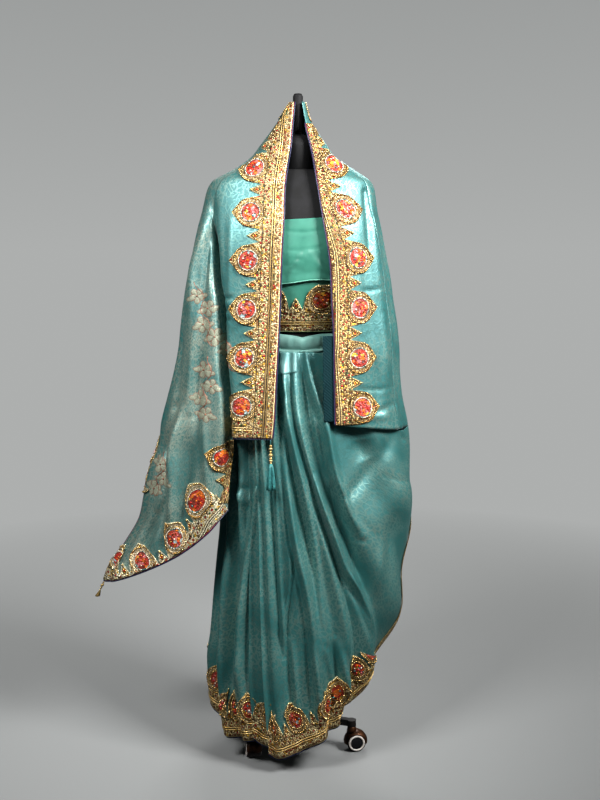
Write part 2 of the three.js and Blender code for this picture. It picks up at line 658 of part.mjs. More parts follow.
function buildCape() {
  const steps = BORDER_STEPS.length;
  const left = panelGrid('left', [0.5, 1], () => PANEL_HEM_Z, (z) => valueAt(CAPE, 'valley', z));
  const edge = left.length - 2; // cell column beside the opening
  const rows = left[0].length;
  trimSeam(left, 'first');
  addNode('left_panel', clothWall(left), silk());
  const onLeftBand = (i, j) => i > edge - 2 || (i > edge - steps && j % 2 === 0 && j > 2);
  addNode('border_left', clothWall(left, {
    ...BAND, keep: (i, j) => i > 0 && (onLeftBand(i, j) || j === rows - 2),
  }), goldWork());

  const cornerShare = Math.sin(radians(CORNER_TURN)) ** (2 / SQUARENESS);
  const rightHem = (share) => mix(849, COWL_SEAM_Z, share);
  const right = panelGrid('right', [0.3, 0.65, 1], rightHem, () => cornerShare);
  trimSeam(right, 'last');
  addNode('right_panel', clothWall(right), silk());
  addNode('border_right', clothWall(right, {
    ...BAND, keep: (i, j) => j > 0 && (i < 2 || (i < steps && j % 2 === 0 && j > 2)),
  }), goldWork());

  const sleeve = trimSeam(trimSeam(sleeveGrid(), 'last'), 'first');
  const sleeveRows = sleeve[0].length;
  const sideRow = sleeveRows - 6; // the border also turns up the sleeve's outer edge to this row
  const onPalluEnd = (i, j) => j === sleeveRows - 2 || (j === sleeveRows - 3 && i % 3 !== 2);
  addNode('pallu_sleeve', clothWall(sleeve), silk());
  addNode('border_pallu_end', clothWall(sleeve, {
    ...BAND, keep: (i, j) => onPalluEnd(i, j) || (i === 0 && j >= sideRow),
  }), goldWork());

  const back = trimSeam(trimSeam(backGrid(), 'last'), 'first');
  const backRows = back[0].length;
  addNode('back_drape', clothWall(back), silk());
  const freeEdge = 5; // the cell columns before this one hang over the hip cowl's top
  addNode('border_back_edge', clothWall(back, {
    ...BAND,
    keep: (i, j) => i >= freeEdge && (j >= backRows - 3 || (j === backRows - 4 && i % 4 > 1)),
  }), goldWork());
  addNode('border_neck', clothWall(back, { ...BAND, keep: (i, j) => j < 1 }), goldWork());

  // The turned-back strip behind the right opening edge, dark on its wrong side.
  const turnback = (inset, z) => {
    const x = valueAt(OPENING, 'right', z) + inset;
    const point = capePoint(turnAtShare(x / valueAt(CAPE, 'right', z)), z);
    return point.add(new THREE.Vector3(0, 3.2, 0));
  };
  const strip = [-23, -8, 8].map((inset) => (
    [1056, 1006, 956, 906, 862].map((z) => surfacePoint(turnback, inset, z, 1, -1))));
  addNode('edge_turnback', clothWall(strip), navy());
}

/** Round cord of a given radius through points. */
function cordAlong(points, radius, steps) {
  const section = new THREE.Shape();
  section.absarc(0, 0, radius, 0, 2 * Math.PI, false);
  return new THREE.ExtrudeGeometry(section, {
    steps, curveSegments: 3, bevelEnabled: false, extrudePath: new THREE.CatmullRomCurve3(points),
  });
}

/** Point on the edge of the front opening. */
function openingPoint(side, z) {
  return capePoint(panelTurn(side, 0, 0.9, z), z);
}

function buildTrims() {
  const pipingRadius = 1.6;
  const clear = pipingRadius + 0.9;
  for (const [side, outward, hem] of [['left', 1, PANEL_HEM_Z], ['right', -1, 850]]) {
    const points = capeLevels(hem).slice(1).map((z) => {
      const edge = openingPoint(side, z);
      return edge.add(new THREE.Vector3(outward * clear, 0, 0));
    });
    addNode(`piping_${side}`, cordAlong(points, pipingRadius, 18), navy());
  }

  // Tassels at the two corners of the pallu: a thread, beads and a skirt of threads.
  const front = addNode('tassel_front', turned([
    [0, -124], [11, -124], [9, -78], [4, -66], [3, -60], [5, -54], [5, -46], [2.5, -40], [5, -34],
    [5, -24], [2.5, -18], [1.5, -14], [1.5, 0], [0, 0],
  ], 8), silk());
  front.position.copy(openingPoint('left', PANEL_HEM_Z));
  front.position.add(new THREE.Vector3(-3, 0, -SEAM - 0.1));
  const side = addNode('tassel_corner', turned([
    [0, -46], [7, -46], [7, -38], [3, -26], [5, -20], [5, -14], [2, -9], [1.2, -6], [1.2, 0], [0, 0],
  ], 8), goldWork());
  side.position.copy(capePoint(-BACK_START, valueAt(PALLU_END, 'z', 1)));
  side.position.add(new THREE.Vector3(2, 0, -SEAM - 0.1));
}

buildForm();
buildStand();
buildUnderLayers();
buildSkirt();
buildCape();
buildTrims();

model.updateMatrixWorld(true);
const bounds = new THREE.Box3().setFromObject(model, true);
const centre = bounds.getCenter(new THREE.Vector3());
model.position.set(-centre.x, -centre.y, -bounds.min.z);

export default model;
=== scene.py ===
"""Silk saree on a limbless dress form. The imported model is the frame, and this script adds the looks:
fine cloth with its creases, raised metal-thread borders, beads, cords, tassels and every finish.
Shapes are worked out in millimetres about the stand's pole, with the front at -Y, then put in metres."""
import json
import math

import bpy
import numpy as np
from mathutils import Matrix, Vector


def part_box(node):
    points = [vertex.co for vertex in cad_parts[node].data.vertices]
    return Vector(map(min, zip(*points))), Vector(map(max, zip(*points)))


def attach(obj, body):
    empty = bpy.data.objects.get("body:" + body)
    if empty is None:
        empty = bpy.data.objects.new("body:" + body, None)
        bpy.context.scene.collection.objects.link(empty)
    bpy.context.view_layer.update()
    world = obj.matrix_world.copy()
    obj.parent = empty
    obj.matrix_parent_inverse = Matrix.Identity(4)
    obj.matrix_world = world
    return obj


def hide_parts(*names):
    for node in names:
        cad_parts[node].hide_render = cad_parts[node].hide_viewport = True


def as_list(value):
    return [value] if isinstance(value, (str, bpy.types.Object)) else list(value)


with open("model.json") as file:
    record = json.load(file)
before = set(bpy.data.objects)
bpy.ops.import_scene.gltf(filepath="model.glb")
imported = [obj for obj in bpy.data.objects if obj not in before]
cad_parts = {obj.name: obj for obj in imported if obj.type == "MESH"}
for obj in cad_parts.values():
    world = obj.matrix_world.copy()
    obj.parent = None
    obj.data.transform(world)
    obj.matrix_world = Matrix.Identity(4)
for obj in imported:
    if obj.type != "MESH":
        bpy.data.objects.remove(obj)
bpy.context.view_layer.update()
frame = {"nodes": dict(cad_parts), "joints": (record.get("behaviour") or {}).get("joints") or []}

# ------------------------------------------------------------------ driving dimensions (millimetres)

MM = 0.001
POLE = (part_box("stand_pole")[0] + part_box("stand_pole")[1]) / 2
CLOTH = 1.1  # thickness of the silk
BAND = 1.2  # thickness of an embroidered band
BAND_LIFT = 2.3  # middle of a band over the middle of the cloth under it
SQUARENESS = 2.2  # exponent of the rounded plan sections
LAYER, TUCK = 9.0, 4.4  # spacing of layered pleats at the hem and at the waist
CLOTH_TOP, SHOULDER_Z, WAIST_Z = 1598.0, 1345.0, 1015.0
COWL_SEAM_Z, PANEL_HEM_Z = 828.0, 820.0
BACK_START, CORNER_TURN = 88.0, 63.0  # headings of the sleeve's outer edge and the right corner
PLEATS_END_LINE = 7.0
CORNER_SHARE = math.sin(math.radians(CORNER_TURN)) ** (2 / SQUARENESS)  # of the section's half-width

# Spacing of points in millimetres, and points of each mesh of cloth across and down.
GRAIN, FINE = 5.0, 2.8
PANEL_GRID, SLEEVE_GRID, BACK_GRID = (42, 104), (100, 140), (150, 86)
SKIRT_GRID, BANDEAU_GRID, WAIST_GRID = (180, 130), (130, 44), (200, 22)
PLEAT_ROWS = 144
ROW_POINTS = 60  # points of each row that runs in from an edge

# The border's repeat: a round medallion with a short point between two kites, over a solid band.
PITCH = 112.0
BAND_WIDTH = 47.0
MEDAL_CENTRE = 76.0
MEDAL_RADIUS = 36.0
MEDAL_SLOPE = math.asin(1 / 1.28)  # its point reaches 1.28 radii
CORD_LINES = (18.0, 23.5)  # how far in from the edge its two cords run
HEM_START = 110.0  # where the first medallion of the hem in front is, from the left
UNLIMITED = 200.0  # a width that no border reaches


class Table:
    """Rows with named columns; the first column is the place that the rows are sorted by."""

    def __init__(self, names, rows):
        self.names = names.split()
        self.columns = dict(zip(self.names, np.array(rows, float).T))
        self.key = self.columns[self.names[0]]

    def at(self, column, place):
        """A column's value at a place, on a smooth curve through the rows."""
        key, value = self.key, self.columns[column]
        place = np.clip(place, key[0], key[-1])
        i = np.clip(np.searchsorted(key, place, side="right") - 1, 0, len(key) - 2)
        order = np.arange(len(key))
        before, after = np.maximum(order - 1, 0), np.minimum(order + 1, len(key) - 1)
        slope = (value[after] - value[before]) / (key[after] - key[before])
        width, rise = key[i + 1] - key[i], value[i + 1] - value[i]
        t = (place - key[i]) / width
        bend = (slope[i] * width - rise) * (1 - t) + (rise - slope[i + 1] * width) * t
        return value[i] + t * rise + t * (1 - t) * bend

    def each(self):
        """Its rows, one at a time, with their values by name."""
        for row in zip(*self.columns.values()):
            yield dict(zip(self.names, row))


# ------------------------------------------------------------------ the garment's sections and folds

# Half-width and half-depth of the form at each height.
FORM = Table("z width depth", [
    [700, 158, 103], [760, 170, 110], [830, 174, 114], [920, 156, 103], [1025, 120, 90],
    [1100, 128, 98], [1180, 142, 111], [1230, 149, 117], [1300, 158, 107], [1365, 168, 88],
    [1398, 160, 72], [1424, 114, 60], [1440, 60, 52],
])

# The cape: its reach to either side, to the front and to the back, and the place and depth of
# the deep fold beside the left panel.
CAPE = Table("z left right front back valley depth", [
    [430, 489, 262, 148, 150, 0.36, 20], [470, 473, 264, 154, 160, 0.37, 22],
    [530, 432, 267, 158, 170, 0.40, 26], [590, 397, 272, 162, 176, 0.43, 30],
    [650, 383, 276, 165, 180, 0.45, 34], [715, 368, 278, 166, 182, 0.46, 40],
    [775, 344, 275, 168, 182, 0.48, 46], [835, 336, 269, 168, 180, 0.49, 50],
    [895, 320, 256, 167, 176, 0.52, 50], [955, 304, 249, 165, 172, 0.57, 48],
    [1012, 292, 247, 161, 168, 0.61, 46], [1071, 285, 241, 156, 163, 0.63, 44],
    [1130, 277, 231, 151, 158, 0.66, 42], [1187, 267, 223, 146, 154, 0.72, 36],
    [1245, 254, 211, 141, 150, 0.77, 28], [1302, 241, 200, 131, 144, 0.83, 16],
    [1345, 229, 190, 117, 132, 0.88, 6], [1387, 219, 184, 99, 115, 0.88, 0],
    [1402, 213, 180, 92, 106, 0.88, 0], [1416, 202, 171, 87, 99, 0.88, 0],
    [1430, 177, 151, 81, 90, 0.88, 0], [1444, 149, 129, 75, 82, 0.88, 0],
    [1472, 110, 88, 64, 68, 0.88, 0], [1499, 89, 68, 56, 57, 0.88, 0],
    [1527, 67, 48, 46, 46, 0.88, 0], [1555, 47, 30, 33, 32, 0.88, 0],
    [1598, 18, 17, 18, 13.3, 0.88, 0],
])
OPENING = Table("z left right", [
    [820, -60, 88], [860, -56, 88], [955, -51, 86], [1047, -46, 85], [1139, -42, 80],
    [1229, -39, 75], [1322, -34, 60], [1405, -31, 47], [1487, -19, 33], [1534, -15, 21],
    [1598, -9, 9],
])
CAPE_FOLDS = Table("shoulder hem height width", [
    [-72, -66, 9, 6], [-79, -76, -9, 4], [-112, -106, 12, 7], [-130, -124, -14, 7],
    [-146, -142, 12, 7], [-163, -161, -13, 7], [179, 178, 13, 8], [161, 158, -14, 7],
    [145, 141, 13, 7], [128, 124, -11, 6], [104, 101, 6, 6], [74, 74, -6, 5], [45, 50, 4, 6],
])
PALLU_END = Table("share z", [
    [0, 642], [0.12, 586], [0.3, 522], [0.55, 468], [0.8, 441], [1, 433],
])
BACK_EDGE = Table("turn z", [
    [0, 668], [30, 715], [60, 790], [92, 840], [125, 866], [148, 838], [160, COWL_SEAM_Z],
    [210, COWL_SEAM_Z],
])
SKIRT = Table("z left right front back", [
    [40, 200, 104, 165, 190], [130, 216, 108, 163, 184], [240, 224, 122, 158, 172],
    [310, 214, 130, 153, 164], [440, 201, 148, 145, 154], [560, 188, 164, 136, 145],
    [700, 186, 180, 127, 134], [830, 184, 183, 124, 128], [930, 166, 166, 112, 114],
    [1015, 127.5, 127.5, 96, 96],
])
SKIRT_HEM = Table("turn z", [
    [-180, 84], [-140, 96], [-110, 112], [-90, 134], [-72, 112], [-58, 72], [-45, 66], [-30, 74],
    [0, 84], [30, 100], [52, 150], [70, 232], [90, 268], [115, 208], [145, 120], [180, 84],
])
SKIRT_FOLDS = Table("waist hem height width", [
    [-48, -34, 12, 5], [-58, -43, -13, 5], [-66, -53, 13, 5], [-76, -64, -15, 5],
    [-88, -76, 9, 6], [-98, -89, -9, 5], [-110, -103, 12, 6], [-124, -117, -12, 6],
    [-138, -132, 11, 6], [-152, -147, -12, 6], [-166, -163, 12, 6], [179, 179, -11, 6],
    [164, 163, 12, 6], [149, 146, -12, 6], [134, 130, 11, 6], [118, 113, -10, 6],
])
OUTER = Table("z left right front", [
    [40, 212, 132, 184], [90, 216, 131, 182], [125, 218, 134, 180], [157, 220, 157, 179],
    [215, 224, 193, 176], [275, 222, 221, 172], [330, 218, 240, 168], [390, 214, 254, 165],
    [500, 206, 266, 158], [590, 198, 272, 152], [713, 196, 278, 146], [775, 196, 275, 144],
    [845, 194, 268, 142], [880, 188, 256, 136], [940, 178, 205, 126], [1015, 137, 143, 105.5],
])
# Each row of a fan is one ridge or valley, from where it starts to where it meets the hem.
FAN_COLUMNS = "line topTurn topZ hemTurn hemZ sweep height"
COWL_TOP = COWL_SEAM_Z - 2
FAN = Table(FAN_COLUMNS, [
    [0, -32, 1015, -17, 54, 1, 4], [1, -29, 1015, -13, 42, 1, -3],
    [2, -27, 1015, -8, 46, 1.1, 5], [3, -25, 1015, 4, 62, 1.1, -6],
    [4, -23, 1015, 24, 86, 1.1, 10], [5, -17, 1015, 34, 98, 1.2, -8],
    [6, -11, 1015, 44, 108, 1.3, 7], [7, -6, 1015, 50, 134, 1.5, -9],
    [8, -2, 1015, 64, 188, 2.0, 10], [9, 3, 1015, 72, 246, 2.3, -15],
    [10, 8, 1015, 80, 345, 2.6, 10], [11, 22, 1000, 86, 450, 2.4, -5],
    [12, 36, 900, 92, 560, 1.8, 7], [13, 60, COWL_TOP, 100, 650, 1.3, -3],
    [14, 80, COWL_TOP, 108, 730, 1, 2], [15, 100, COWL_TOP, 118, 790, 1, -2],
])
UNDER_PLEAT = Table(FAN_COLUMNS, [
    [0, -38, 1012, -29, 84, 1, 3], [1, -35, 1012, -24, 70, 1, -3], [2, -31, 1012, -16, 66, 1, 1],
    [3, -27, 1012, -9, 68, 1, 0],
])

# Creases in the front or the back view: height, width, the side (-1 left, 1 right) where a ridge
# falls into a trough, and then the places x, z that it runs through. A negative height is a trough.
CAPE_CREASES = [
    [-5, 4, 0, -190, 1147, -168, 1141, -150, 1143], [-6, 4, 0, -192, 1124, -170, 1114, -150, 1118],
    [-4, 4, 0, -188, 1098, -171, 1093, -156, 1094], [4, 11, 0, -152, 1350, -155, 1228, -154, 1080],
    [15, 12, -1, -286, 860, -292, 780, -297, 690, -300, 620, -304, 560],
    [8, 6, 0, -206, 1340, -204, 1320, -197, 1261, -196, 1200, -192, 1120],
    [9, 9, 0, -214, 1345, -220, 1295, -242, 1211, -248, 1126, -256, 1010],
    [-8, 7, 0, -208, 1300, -216, 1211, -226, 1090], [3, 12, 0, -140, 1010, -144, 928, -140, 840],
    [-3, 8, 0, -168, 1010, -162, 930, -158, 850], [8, 11, 1, -232, 1120, -248, 1005, -262, 880],
    [-9, 9, 0, -262, 1110, -280, 968, -300, 800], [-7, 11, 0, -228, 1010, -236, 892, -236, 760],
    [10, 12, -1, -268, 900, -294, 780, -330, 640], [-9, 10, 0, -250, 800, -262, 700, -280, 600],
    [7, 10, 0, -225, 860, -216, 760, -212, 660], [-9, 10, 0, -310, 800, -336, 695, -372, 580],
    [8, 11, 0, -300, 660, -328, 585, -372, 500], [-8, 9, 0, -330, 640, -358, 570, -404, 500],
    [-7, 8, 0, -270, 640, -266, 600, -272, 560], [-9, 7, 0, 158, 1396, 160, 1383, 165, 1319, 168, 1240],
    [5, 10, 0, 168, 1370, 174, 1319, 184, 1250, 190, 1178, 200, 1080, 208, 960],
    [-4, 11, 0, 150, 1300, 160, 1175, 176, 1040], [5, 12, 0, 196, 1110, 206, 1002, 214, 900],
    [-2.5, 4, 0, 138, 1158, 172, 1159, 208, 1168], [-2.5, 4, 0, 142, 932, 184, 928, 228, 931],
    [-3.5, 6, 0, 184, 874, 208, 884, 236, 892], [-4, 9, 0, 176, 1010, 184, 950, 190, 890],
    [3, 8, 0, 110, 862, 163, 866, 222, 862],
]
BACK_CREASES = [
    [-5, 9, 0, -150, 1360, -52, 1312, 60, 1310], [-4, 8, 0, 150, 1340, 50, 1262, -70, 1250],
    [-4, 8, 0, -170, 1180, -40, 1142, 90, 1150], [-5, 9, 0, 190, 1210, 100, 1085, -30, 1010],
    [-5, 10, 0, -210, 1050, -98, 988, 20, 980], [-4, 8, 0, 220, 1040, 155, 948, 60, 890],
    [5, 9, 0, -240, 900, -150, 872, -60, 870], [5, 10, -1, 120, 1300, 145, 1195, 160, 1080],
    [6, 10, 1, -120, 1260, -145, 1125, -160, 980], [5, 11, 1, 30, 1200, 28, 1078, 40, 930],
]
SKIRT_CREASES = [
    [12, 6, -1, -72, 880, -72, 806, -73, 670, -66, 500, -57, 302, -54, 150],
    [13, 9, -1, -92, 760, -99, 658, -127, 428, -142, 323, -150, 200],
    [8, 6, 0, -136, 720, -135, 665, -133, 563, -140, 470], [-14, 16, 0, -118, 840, -120, 760, -116, 690],
    [-6, 6, 0, -168, 745, -140, 688, -105, 700, -84, 730], [6, 6, 0, -160, 715, -125, 655, -88, 700],
    [9, 9, 0, -176, 560, -184, 420, -192, 260], [-9, 8, 0, -152, 640, -160, 420, -170, 200],
    [-11, 8, 0, -108, 520, -118, 350, -122, 200], [6, 8, 0, -132, 300, -148, 228, -158, 150],
]
FAN_CREASES = [
    [14, 8, -1, -30, 900, -32, 804, -16, 670, 0, 551, 22, 448, 41, 302, 48, 200],
    [12, 8, -1, -38, 985, -19, 856, 0, 761, 31, 602, 43, 534, 58, 430, 72, 330],
    [14, 9, -1, 19, 1010, 37, 932, 66, 847, 87, 735, 104, 687, 121, 634, 150, 585],
    [13, 9, -1, 46, 720, 57, 668, 88, 583, 117, 497, 151, 438, 185, 343, 196, 290],
    [-12, 7, 0, 76, 700, 81, 682, 96, 621, 117, 572, 134, 525, 150, 480],
    [-10, 7, 0, 92, 600, 101, 560, 118, 491, 140, 439, 169, 373, 184, 320],
    [9, 5, -1, -56, 760, -51, 654, -45, 536, -36, 381, -30, 300],
    [8, 4, 1, -19, 560, -19, 484, -33, 373, -36, 300], [10, 7, -1, -14, 330, -6, 230, 0, 150],
    [12, 8, -1, 30, 330, 44, 240, 50, 130], [-12, 9, 0, 60, 300, 74, 220, 80, 140],
    [10, 8, -1, 96, 330, 112, 240, 122, 160], [-10, 8, 0, 118, 300, 134, 230, 150, 190],
    [-6, 17, 0, 240, 826, 230, 815, 211, 787, 167, 729, 117, 680, 104, 668],
    [11, 46, 0, 252, 700, 225, 640, 170, 590], [-8, 22, 0, 150, 810, 155, 786, 166, 760],
    [-4, 5, 0, 246, 824, 253, 806, 262, 790], [-5, 14, 0, 232, 640, 218, 520, 222, 400],
    [6, 12, 0, 200, 560, 180, 422, 170, 290],
]


def smooth_step(start, end, at):
    t = np.clip((at - start) / (end - start), 0, 1)
    return t * t * (3 - 2 * t)


def bump(distance, width):
    """A soft bump or trough, 1 at its middle."""
    return np.exp(-((distance / width) ** 2))


def mix(a, b, t):
    return a + (b - a) * t


def turn_at_share(share):
    """Heading at which a section reaches a given share of its half-width."""
    return np.degrees(np.arcsin(np.clip(np.abs(share), 0, 1) ** (SQUARENESS / 2))) * np.sign(share)


def section_point(reach, turn, z, out=0.0):
    """Points of rounded plan sections at given headings, moved out along the section's normal."""
    s, c = np.sin(np.radians(turn)), np.cos(np.radians(turn))
    width = np.where(s < 0, reach["left"], reach["right"])
    depth = np.where(c > 0, reach["front"], reach["back"])
    x = np.sign(s) * np.abs(s) ** (2 / SQUARENESS)
    y = -np.sign(c) * np.abs(c) ** (2 / SQUARENESS)
    nx = np.sign(x) * np.abs(x) ** (SQUARENESS - 1) / width
    ny = np.sign(y) * np.abs(y) ** (SQUARENESS - 1) / depth
    size = np.hypot(nx, ny)
    flat = np.broadcast_arrays(x * width + nx / size * out, y * depth + ny / size * out, z)
    return np.stack(flat, axis=-1)


def fold_relief(folds, top, turn, drop):
    relief = 0.0
    for fold in folds.each():
        middle = mix(fold[top], fold["hem"], drop)
        relief = relief + fold["height"] * bump((turn - middle + 540) % 360 - 180, fold["width"])
    return relief


def through(places):
    """Points of a smooth curve that runs through some places, five to a stretch."""
    near = np.vstack([2 * places[0] - places[1], places, 2 * places[-1] - places[-2]])
    t = np.linspace(0, 1, 5, endpoint=False)[:, None]
    parts = []
    for a, b, c, d in zip(near, near[1:], near[2:], near[3:]):
        parts.append(b + t * (c - a) / 2 + t * t * (2 * a - 5 * b + 4 * c - d) / 2
                     + t ** 3 * (3 * b - a - 3 * c + d) / 2)
    return np.vstack([*parts, places[-1:]])


class Creases:
    """Creases drawn as heights on a grid over the front or the back view, looked up at any point."""

    STEP, LEFT, LOW, COLUMNS, ROWS = 2.5, -540.0, 20.0, 350, 660

    def __init__(self, rows, facing=-1):
        self.facing = facing
        self.grid = np.zeros((self.COLUMNS, self.ROWS))
        for height, width, side, *places in rows:
            self.draw(through(np.reshape(places, (-1, 2))), height, width, side)

    def draw(self, curve, height, width, side):
        low = (curve.min(axis=0) - 4.3 * width - [self.LEFT, self.LOW]) / self.STEP
        high = (curve.max(axis=0) + 4.3 * width - [self.LEFT, self.LOW]) / self.STEP
        (x0, z0), (x1, z1) = np.maximum(low, 0).astype(int), np.ceil(high).astype(int)
        x = self.LEFT + self.STEP * np.arange(x0, min(x1, self.COLUMNS))[:, None]
        z = self.LOW + self.STEP * np.arange(z0, min(z1, self.ROWS))
        nearest, along = np.full((x.size, z.size), 1e9), np.zeros((x.size, z.size))
        beside = np.zeros((x.size, z.size))
        for k, (a, b) in enumerate(zip(curve, curve[1:])):
            run = b - a
            t = np.clip(((x - a[0]) * run[0] + (z - a[1]) * run[1]) / (run @ run), 0, 1)
            dx, dz = x - a[0] - t * run[0], z - a[1] - t * run[1]
            away = np.hypot(dx, dz)
            closer = away < nearest
            nearest, along = np.where(closer, away, nearest), np.where(closer, k + t, along)
            beside = np.where(closer, np.sign(run[0] * dz - run[1] * dx) * away, beside)
        taper = np.sin(np.pi * np.clip(along / (len(curve) - 1), 0.02, 0.98)) ** 0.6
        profile = bump(nearest, width)
        if side:
            profile = profile - 0.8 * bump(beside - side * 1.9 * width, 0.8 * width)
        self.grid[x0:x0 + x.size, z0:z0 + z.size] += height * taper * profile

    def relief(self, plain):
        x = np.clip((plain[..., 0] - self.LEFT) / self.STEP, 0, self.COLUMNS - 1.01)
        z = np.clip((plain[..., 2] - self.LOW) / self.STEP, 0, self.ROWS - 1.01)
        i, j = x.astype(int), z.astype(int)
        x, z = x - i, z - j
        low = mix(self.grid[i, j], self.grid[i + 1, j], x)
        high = mix(self.grid[i, j + 1], self.grid[i + 1, j + 1], x)
        return mix(low, high, z) * smooth_step(-10, 25, plain[..., 1] * self.facing)


CAPE_FRONT, CAPE_BACK = Creases(CAPE_CREASES), Creases(BACK_CREASES, 1)
SKIRT_FRONT, FAN_FRONT = Creases(SKIRT_CREASES), Creases(FAN_CREASES)


def cape_point(turn, z):
    reach = {side: CAPE.at(side, z) for side in ("left", "right", "front", "back")}
    plain = section_point(reach, turn, z)
    drop = smooth_step(1400, 800, z)
    out = fold_relief(CAPE_FOLDS, "shoulder", turn, drop) * smooth_step(1430, 1050, z)
    beside = plain[..., 0] + CAPE.at("valley", z) * reach["left"]
    valley = bump(beside, np.where(beside > 0, 9, mix(17, 8, smooth_step(720, 860, z))))
    out = out - np.where(turn < 0, CAPE.at("depth", z) * valley * smooth_step(-100, -80, turn), 0)
    out = out + CAPE_FRONT.relief(plain) + CAPE_BACK.relief(plain)
    points = section_point(reach, turn, z, out)
    # The narrow dark gap where the sleeve falls in behind the panel's edge.
    slot = bump(beside - 1, 4.5) * (plain[..., 1] < 0) * smooth_step(800, 850, z)
    points[..., 1] += slot * smooth_step(1335, 1240, z) * mix(12, 55, smooth_step(860, 1030, z))
    return points


def skirt_point(turn, share):
    z = mix(WAIST_Z, SKIRT_HEM.at("z", turn), share)
    reach = {side: SKIRT.at(side, z) for side in ("left", "right", "front", "back")}
    relief = fold_relief(SKIRT_FOLDS, "waist", turn, share)
    relief = relief * (0.05 + 0.95 * smooth_step(0, 0.6, share))
    relief = relief + SKIRT_FRONT.relief(section_point(reach, turn, z))
    return section_point(reach, turn, z, relief)


def fan_point(rows, line, share, layers=0):
    """Point on a fan line, which may lie between two rows of its table, some layers further in."""
    z = mix(rows.at("topZ", line), rows.at("hemZ", line), share)
    turn = mix(rows.at("topTurn", line), rows.at("hemTurn", line), share ** rows.at("sweep", line))
    reach = {side: OUTER.at(side, z) for side in ("left", "right", "front")}
    reach["back"] = CAPE.at("back", z)
    relief = rows.at("height", line) * (0.25 + 0.75 * smooth_step(0, 0.2, share))
    out = -layers * mix(TUCK, LAYER, smooth_step(0, 0.3, share))
    calm = 1 - smooth_step(70, 95, turn) * smooth_step(740, COWL_SEAM_Z, z)
    creases = FAN_FRONT.relief(section_point(reach, turn, z)) * (1 if layers == 0 else 0)
    return section_point(reach, turn, z, (relief + creases) * calm + out)


def form_point(turn, z, distance=0.0):
    reach = {"left": FORM.at("width", z), "front": FORM.at("depth", z)}
    reach |= {"right": reach["left"], "back": reach["front"]}
    return section_point(reach, turn, z, distance)


# ------------------------------------------------------------------ grids of points


def lengths(points, axis):
    """Distance of each point from the first one, measured along an axis of a grid."""
    steps = np.linalg.norm(np.diff(points, axis=axis), axis=-1)
    return np.insert(np.cumsum(steps, axis=axis), 0, 0, axis=axis)


def spread(rows, at):
    """Points at given distances along each row of points, measured from its first point."""
    along = lengths(rows, 1)
    out = np.empty(at.shape + (3,))
    for i, row in enumerate(rows):
        for axis in range(3):
            out[i, :, axis] = np.interp(at[i], along[i], row[:, axis])
    return out


def normals(points, closed=False):
    """Normals of a grid, on the side that faces away from the pole."""
    if closed:
        across = np.roll(points, -1, 0) - np.roll(points, 1, 0)
    else:
        across = np.gradient(points, axis=0)
    found = unit(np.cross(np.gradient(points, axis=1), across))
    return found if faces_out(found, points) else -found


def faces_out(facing, points):
    """Whether a border's grid faces away from the pole, told by its inner end, which lies open."""
    return np.sum(facing[:, -5:, :2] * points[:, -5:, :2]) > 0


def cape_levels(hems, drop_rows):
    """Heights of the rows of each column: even along the shoulder's slope, then down to the hem."""
    z = np.linspace(CLOTH_TOP, SHOULDER_Z, 400)
    slope = lengths(np.stack([CAPE.at("left", z), z], -1), 0)
    top = np.interp(np.linspace(0, slope[-1], round(slope[-1] / GRAIN)), slope, z)
    shares = np.linspace(0, 1, drop_rows + 1)[1:]
    drop = SHOULDER_Z + (np.asarray(hems)[:, None] - SHOULDER_Z) * shares
    return np.hstack([np.tile(top, (len(hems), 1)), drop])


def panel_rows(side, z):
    """Rows across a front panel at given heights, from the opening's edge to its far edge."""
    reach = CAPE.at(side, z)
    start = np.abs(OPENING.at(side, z)) / reach
    far = CAPE.at("valley", z) if side == "left" else np.full(z.shape, CORNER_SHARE)
    share = mix(start[:, None], far[:, None], np.linspace(0, 1, 70))
    return cape_point(turn_at_share(share) * (-1 if side == "left" else 1), z[:, None])


def edge_rows(surface, u, v, nudge, inward, reach=126.0, closed=False, limits=(-1e9, 1e9), flush=0.0):
    """Rows of points that run square from an edge into a surface of two coordinates. nudge is a
    small change of each coordinate and inward their change going in. A row slides along the limits
    of the first one, and stops where the second one falls to 0. Over the distance flush from each
    end, the rows turn to run along the sides."""
    step = reach / (ROW_POINTS - 1)
    flip = np.where(u > (np.min(u) + np.max(u)) / 2, -1, 1) * nudge[0]
    here, heading, rows = surface(u, v), None, []
    moving = np.ones(u.shape, bool)
    for _ in range(ROW_POINTS):
        rows.append(here)
        du = (surface(u + flip, v) - here) / flip[:, None]
        dv = (surface(u, v + nudge[1]) - here) / nudge[1]
        normal = unit(np.cross(du, dv))
        if heading is None:
            across = np.roll(here, -1, 0) - np.roll(here, 1, 0) if closed else np.gradient(here, axis=0)
            heading = unit(smoothed(unit(np.cross(normal, across)), closed))
            heading = heading * np.sign(np.sum(heading * (du * inward[0] + dv * inward[1])))
            if flush:
                start = lengths(here, 0)
                near = bump(start, flush) + bump(start[-1] - start, flush)
                heading = mix(heading, unit(dv * inward[1]), np.minimum(near, 1)[:, None])
        heading = unit(heading - normal * np.sum(heading * normal, axis=1, keepdims=True))
        a, b, c = (np.sum(p * q, axis=1) for p, q in ((du, du), (du, dv), (dv, dv)))
        p, q = np.sum(heading * du, axis=1), np.sum(heading * dv, axis=1)
        scale = np.where(moving, step / np.maximum(a * c - b * b, 1e-9), 0)
        u, v = u + (p * c - q * b) * scale, v + (q * a - p * b) * scale
        moving = moving & (v > 0)
        u, v = np.clip(u, *limits), np.maximum(v, 0)
        here = surface(u, v)
    return np.stack(rows, 1)


def free_depths(rows):
    """How far each row runs in before it meets the one beside it."""
    apart = np.linalg.norm(np.diff(rows, axis=0, append=rows[-2:-1]), axis=-1)
    parted = np.minimum.accumulate(apart > 0.2 * apart[:, :1], axis=1).sum(axis=1)
    return np.take_along_axis(lengths(rows, 1), parted[:, None] - 1, 1)[:, 0]


